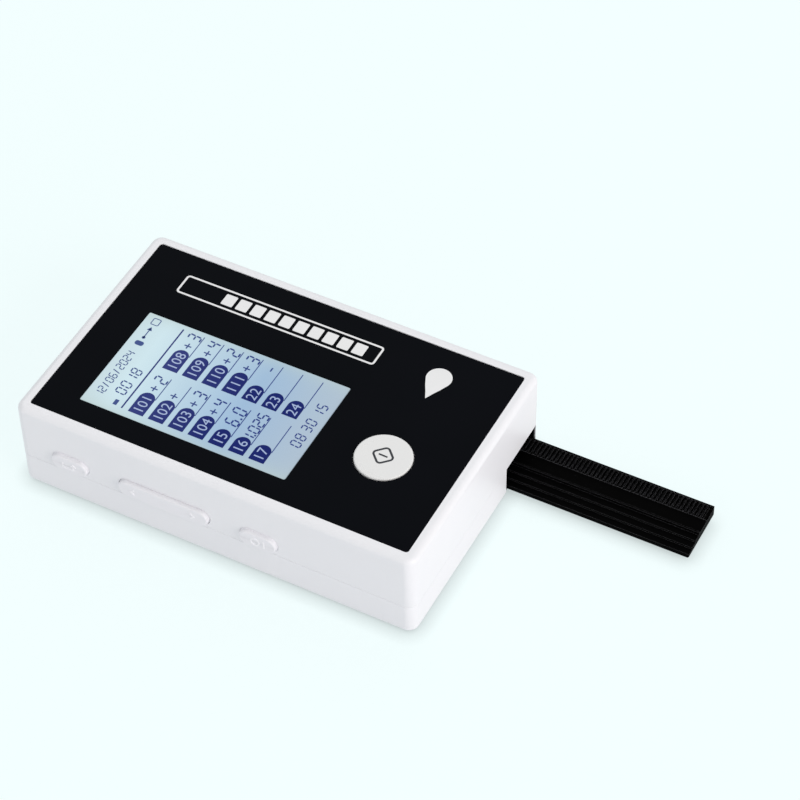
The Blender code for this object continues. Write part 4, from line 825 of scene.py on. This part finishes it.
def makeDisplay():
    look, thickness = tabLook, pageLook["thickness"]
    tabs, rules, digits, labels = [pageBox(*pageLook["headRule"])], [], [], []
    columns = ((look["left"], look["leftRuleEnd"], readingLook["left"]),
               (look["right"], look["rightRuleEnd"], readingLook["right"]))
    for row, top in enumerate(look["tops"]):
        short = row >= look["shortFrom"]
        width = look["shortWidth"] if short else look["width"]
        low = top + look["height"]
        ruleTop = low - look["ruleRise"]
        for column, (u, ruleEnd, values) in enumerate(columns):
            tabs.append(tabShape(u, top, width, look["height"]))
            rules.append(pageBox(u + width + look["ruleStart"], ruleTop, ruleEnd,
                                 ruleTop + look["ruleThickness"]))
            digits += readingShapes(values[row], u, top)
            first = labelLook["shortFirst"] if short else labelLook["wideFirst"]
            inset, rise = labelLook["place"]
            labels.append((str(first + row + len(look["tops"]) * column), *pagePoint(u + inset, low - rise)))
    for signs, run in pageRuns.values():
        digits += runShapes(signs, run)
    digits += headShapes()
    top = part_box("lcd_glass")[1][2] / mm
    for piece, height in (
            (flatPiece("display_tabs", thickness, displayInk, tabs), 0.0),
            (flatPiece("display_marks", thickness, digitInk, rules + digits, [frameBand()]), 0.0),
            (numberPiece("display_numbers", labels, labelLook, labelInk), thickness)):
        settle(piece, onTop(0, 0, top + height, pageLook["turn"]), "housing")


makeDisplay()
print("display page made")


# start button: a diamond sign with a bar

startSign = {"middle": (-0.25, 0.26), "halfDiagonal": 3.3, "cornerGain": 0.6, "corner": 1.3, "line": 0.62,
             "bar": (2.75, 0.54), "barCorner": 0.15, "barTurn": -1.5, "thickness": 0.03, "lift": 0.01}


def makeStartSign():
    # the diamond is a square on its corner, a little larger for what its rounding takes off
    look = startSign
    side = look["halfDiagonal"] * math.sqrt(2) + look["cornerGain"]
    diamond = [turned(roundedBox(side - 2 * inset, side - 2 * inset, look["corner"] - inset), 45)
               for inset in (0.0, look["line"])]
    bar = turned(roundedBox(*look["bar"], look["barCorner"]), look["barTurn"])
    sign = flatPiece("start_sign", look["thickness"], buttonInk, [bar], [diamond])
    low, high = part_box("start_button")
    x = (low[0] + high[0]) / 2 / mm + look["middle"][0]
    y = (low[1] + high[1]) / 2 / mm + look["middle"][1]
    settle(sign, onTop(x, y, high[2] / mm + look["lift"] - look["thickness"] / 2), "start_button")


makeStartSign()
print("start sign made")


# side keys: raised signs moulded on the caps

keySigns = {
    "raise": 0.14, "sink": 0.05, "line": 0.44,
    "return_key": [[(-1.9, 0.9), (-1.9, -0.9), (1.5, -0.9), (1.5, 0.35)],
                   [(0.7, 0.25), (1.5, 1.15), (2.3, 0.25)]],
    "rocker_key": [[(-9.0, 1.0), (-10.2, 0.0), (-9.0, -1.0)], [(9.0, 1.0), (10.2, 0.0), (9.0, -1.0)]],
    "confirm_key": [[(2.2, 1.3), (2.2, -1.3)]], "confirmRing": (-0.6, 0.0, 1.5), "ringArc": (0, 345, 23),
}


def makeKeySigns():
    look = keySigns
    x, y, radius = look["confirmRing"]
    ring = [arcPoints(x, y, reach, *look["ringArc"]) for reach in (radius, radius - look["line"])]
    for name, bands in (("return_key", []), ("rocker_key", []), ("confirm_key", [ring])):
        plates = [strokeOutline(points, look["line"]) for points in look[name]]
        sign = flatPiece(name + "_sign", look["raise"] + look["sink"], keySignPaintedHighlight, plates, bands)
        low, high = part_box(name)
        settle(sign, onNearSide((low[0] + high[0]) / 2 / mm, low[1] / mm + look["sink"],
                                (low[2] + high[2]) / 2 / mm), name)


makeKeySigns()
print("key signs made")


# thin lips that close the gaps round the side keys and along the seam, so that they show only as fine lines

# each key has its length, how far its lip stands out and how far behind the wall its front lies
keyLip = {"height": 5.5, "overlap": 0.04, "back": 1.5, "cornerSlack": 0.01, "cornerSteps": 8,
          "keys": {"return_key": (11.7, 0.24, 0.02), "rocker_key": (29.0, 0.15, 0.12),
                   "confirm_key": (11.7, 0.24, 0.02)}}
seamLip = {"outerInset": 0.08, "innerInset": 0.8, "low": 10.815, "thickness": 0.09, "corner": 3.2}


def makeKeyLips():
    look = keyLip
    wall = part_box("top_cover")[0][1] / mm
    for name, (length, wide, front) in look["keys"].items():
        low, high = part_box(name)
        outlines = [roundedBox(length + 2 * grow, look["height"] + 2 * grow,
                               look["height"] / 2 + grow - look["cornerSlack"], steps=look["cornerSteps"])
                    for grow in (wide, -look["overlap"])]
        lip = flatPiece(name + "_lip", look["back"] - front, keyWhite, bands=[outlines])
        settle(lip, onNearSide((low[0] + high[0]) / 2 / mm, wall + look["back"],
                               (low[2] + high[2]) / 2 / mm), name)


def makeSeamLip():
    look = seamLip
    low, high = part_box("base_cover")
    length, width = (high[0] - low[0]) / mm, (high[1] - low[1]) / mm
    outlines = [roundedBox(length - 2 * inset, width - 2 * inset, look["corner"] - inset)
                for inset in (look["outerInset"], look["innerInset"])]
    lip = flatPiece("seam_lip", look["thickness"], whiteShell, bands=[outlines])
    settle(lip, onTop(0, 0, look["low"]), "housing")


makeKeyLips()
makeSeamLip()
print("lips made")


# floor, light and camera

floorLook = {"size": 6.0, "colour": rgb(230, 233, 236), "seenColour": rgb(114, 120, 120), "roughness": 0.9,
             "shown": rgb(243, 255, 255), "shownStrength": 0.83,
             "paintedShadeReach": 5.0, "paintedShadeDepth": 0.4, "paintedShadeSamples": 12}


def makeFloor():
    # where it is seen, part of its tone shines by itself, so it stays even; a soft contact shadow is painted
    # into its colour and glow
    look = floorLook
    material, tree, shader = newMaterial("paleFloor", **{
        "Roughness": look["roughness"], "Specular IOR Level": 0.0, "Emission Color": look["shown"]})
    path = node(tree, "ShaderNodeLightPath")
    seen = maths(tree, "ADD", path.outputs["Is Camera Ray"], path.outputs["Is Glossy Ray"])
    seen = maths(tree, "ADD", seen, path.outputs["Is Transmission Ray"], clamp=True)
    # painted contact shadow: ambient occlusion darkens the seen colour and the glow near the object
    paintedShadeOcclusion = node(tree, "ShaderNodeAmbientOcclusion", samples=look["paintedShadeSamples"])
    paintedShadeOcclusion.inputs["Distance"].default_value = look["paintedShadeReach"] * mm
    hidden = maths(tree, "SUBTRACT", 1.0, paintedShadeOcclusion.outputs["AO"])
    paintedShadeFactor = maths(tree, "SUBTRACT", 1.0, maths(tree, "MULTIPLY", hidden, look["paintedShadeDepth"]))
    paintedShadeColour = mixColour(tree, paintedShadeFactor, black, look["seenColour"])
    feed(tree, mixColour(tree, seen, look["colour"], paintedShadeColour), shader.inputs["Base Color"])
    strength = maths(tree, "MULTIPLY", maths(tree, "MULTIPLY", seen, paintedShadeFactor), look["shownStrength"])
    feed(tree, strength, shader.inputs["Emission Strength"])
    bm = bmesh.new()
    bmesh.ops.create_grid(bm, x_segments=1, y_segments=1, size=look["size"] / 2)
    floor = pieceFrom(bm, "floor", material)
    floor.location.z = cadBox[0][2]


worldLook = {"strength": 0.7, "colour": (0.975, 0.992, 1.0, 1.0)}
lampAim = (0.02, 0.0, 0.01)
lampLook = {
    "keySide": {"place": (1.6, -0.3, 0.75), "size": 1.1, "power": 14.0, "colour": (1.0, 0.932, 0.91)},
    "farFill": {"place": (-0.5, 1.2, 1.3), "size": 1.6, "power": 3.6, "colour": (0.97, 0.99, 1.0)},
    "nearFill": {"place": (-0.3, -1.6, 0.35), "size": 1.0, "power": 2.0, "colour": (1.0, 0.98, 0.98)},
}


def makeLight():
    world = bpy.data.worlds.new("studio")
    bpy.context.scene.world = world
    world.use_nodes = True
    back = world.node_tree.nodes["Background"]
    back.inputs["Color"].default_value = worldLook["colour"]
    back.inputs["Strength"].default_value = worldLook["strength"]
    for name, look in lampLook.items():
        lamp = bpy.data.lights.new(name, "AREA")
        lamp.size = look["size"]
        lamp.energy = look["power"]
        lamp.color = look["colour"]
        made = newObject(name, lamp)
        made.location = look["place"]
        made.rotation_euler = (Vector(lampAim) - Vector(look["place"])).to_track_quat("-Z", "Y").to_euler()


cameraLook = {"place": (0.2835, -0.4505, 0.6039), "right": (0.8851, 0.4651, -0.0126),
              "up": (-0.3352, 0.6563, 0.6759), "back": (0.3227, -0.5941, 0.7369),
              "lens": 125.54, "sensor": 36.0, "nearest": 0.01, "furthest": 20.0}


def makeCamera():
    look = cameraLook
    camera = bpy.data.cameras.new("photoCamera")
    camera.lens = look["lens"]
    camera.sensor_width = look["sensor"]
    camera.clip_start = look["nearest"]
    camera.clip_end = look["furthest"]
    made = newObject("photoCamera", camera)
    turn = Matrix((look["right"], look["up"], look["back"])).transposed().to_4x4()
    made.matrix_world = Matrix.Translation(look["place"]) @ turn
    bpy.context.scene.camera = made


makeFloor()
makeLight()
makeCamera()
bpy.context.scene.view_settings.view_transform = "Standard"
print("floor, light and camera set")
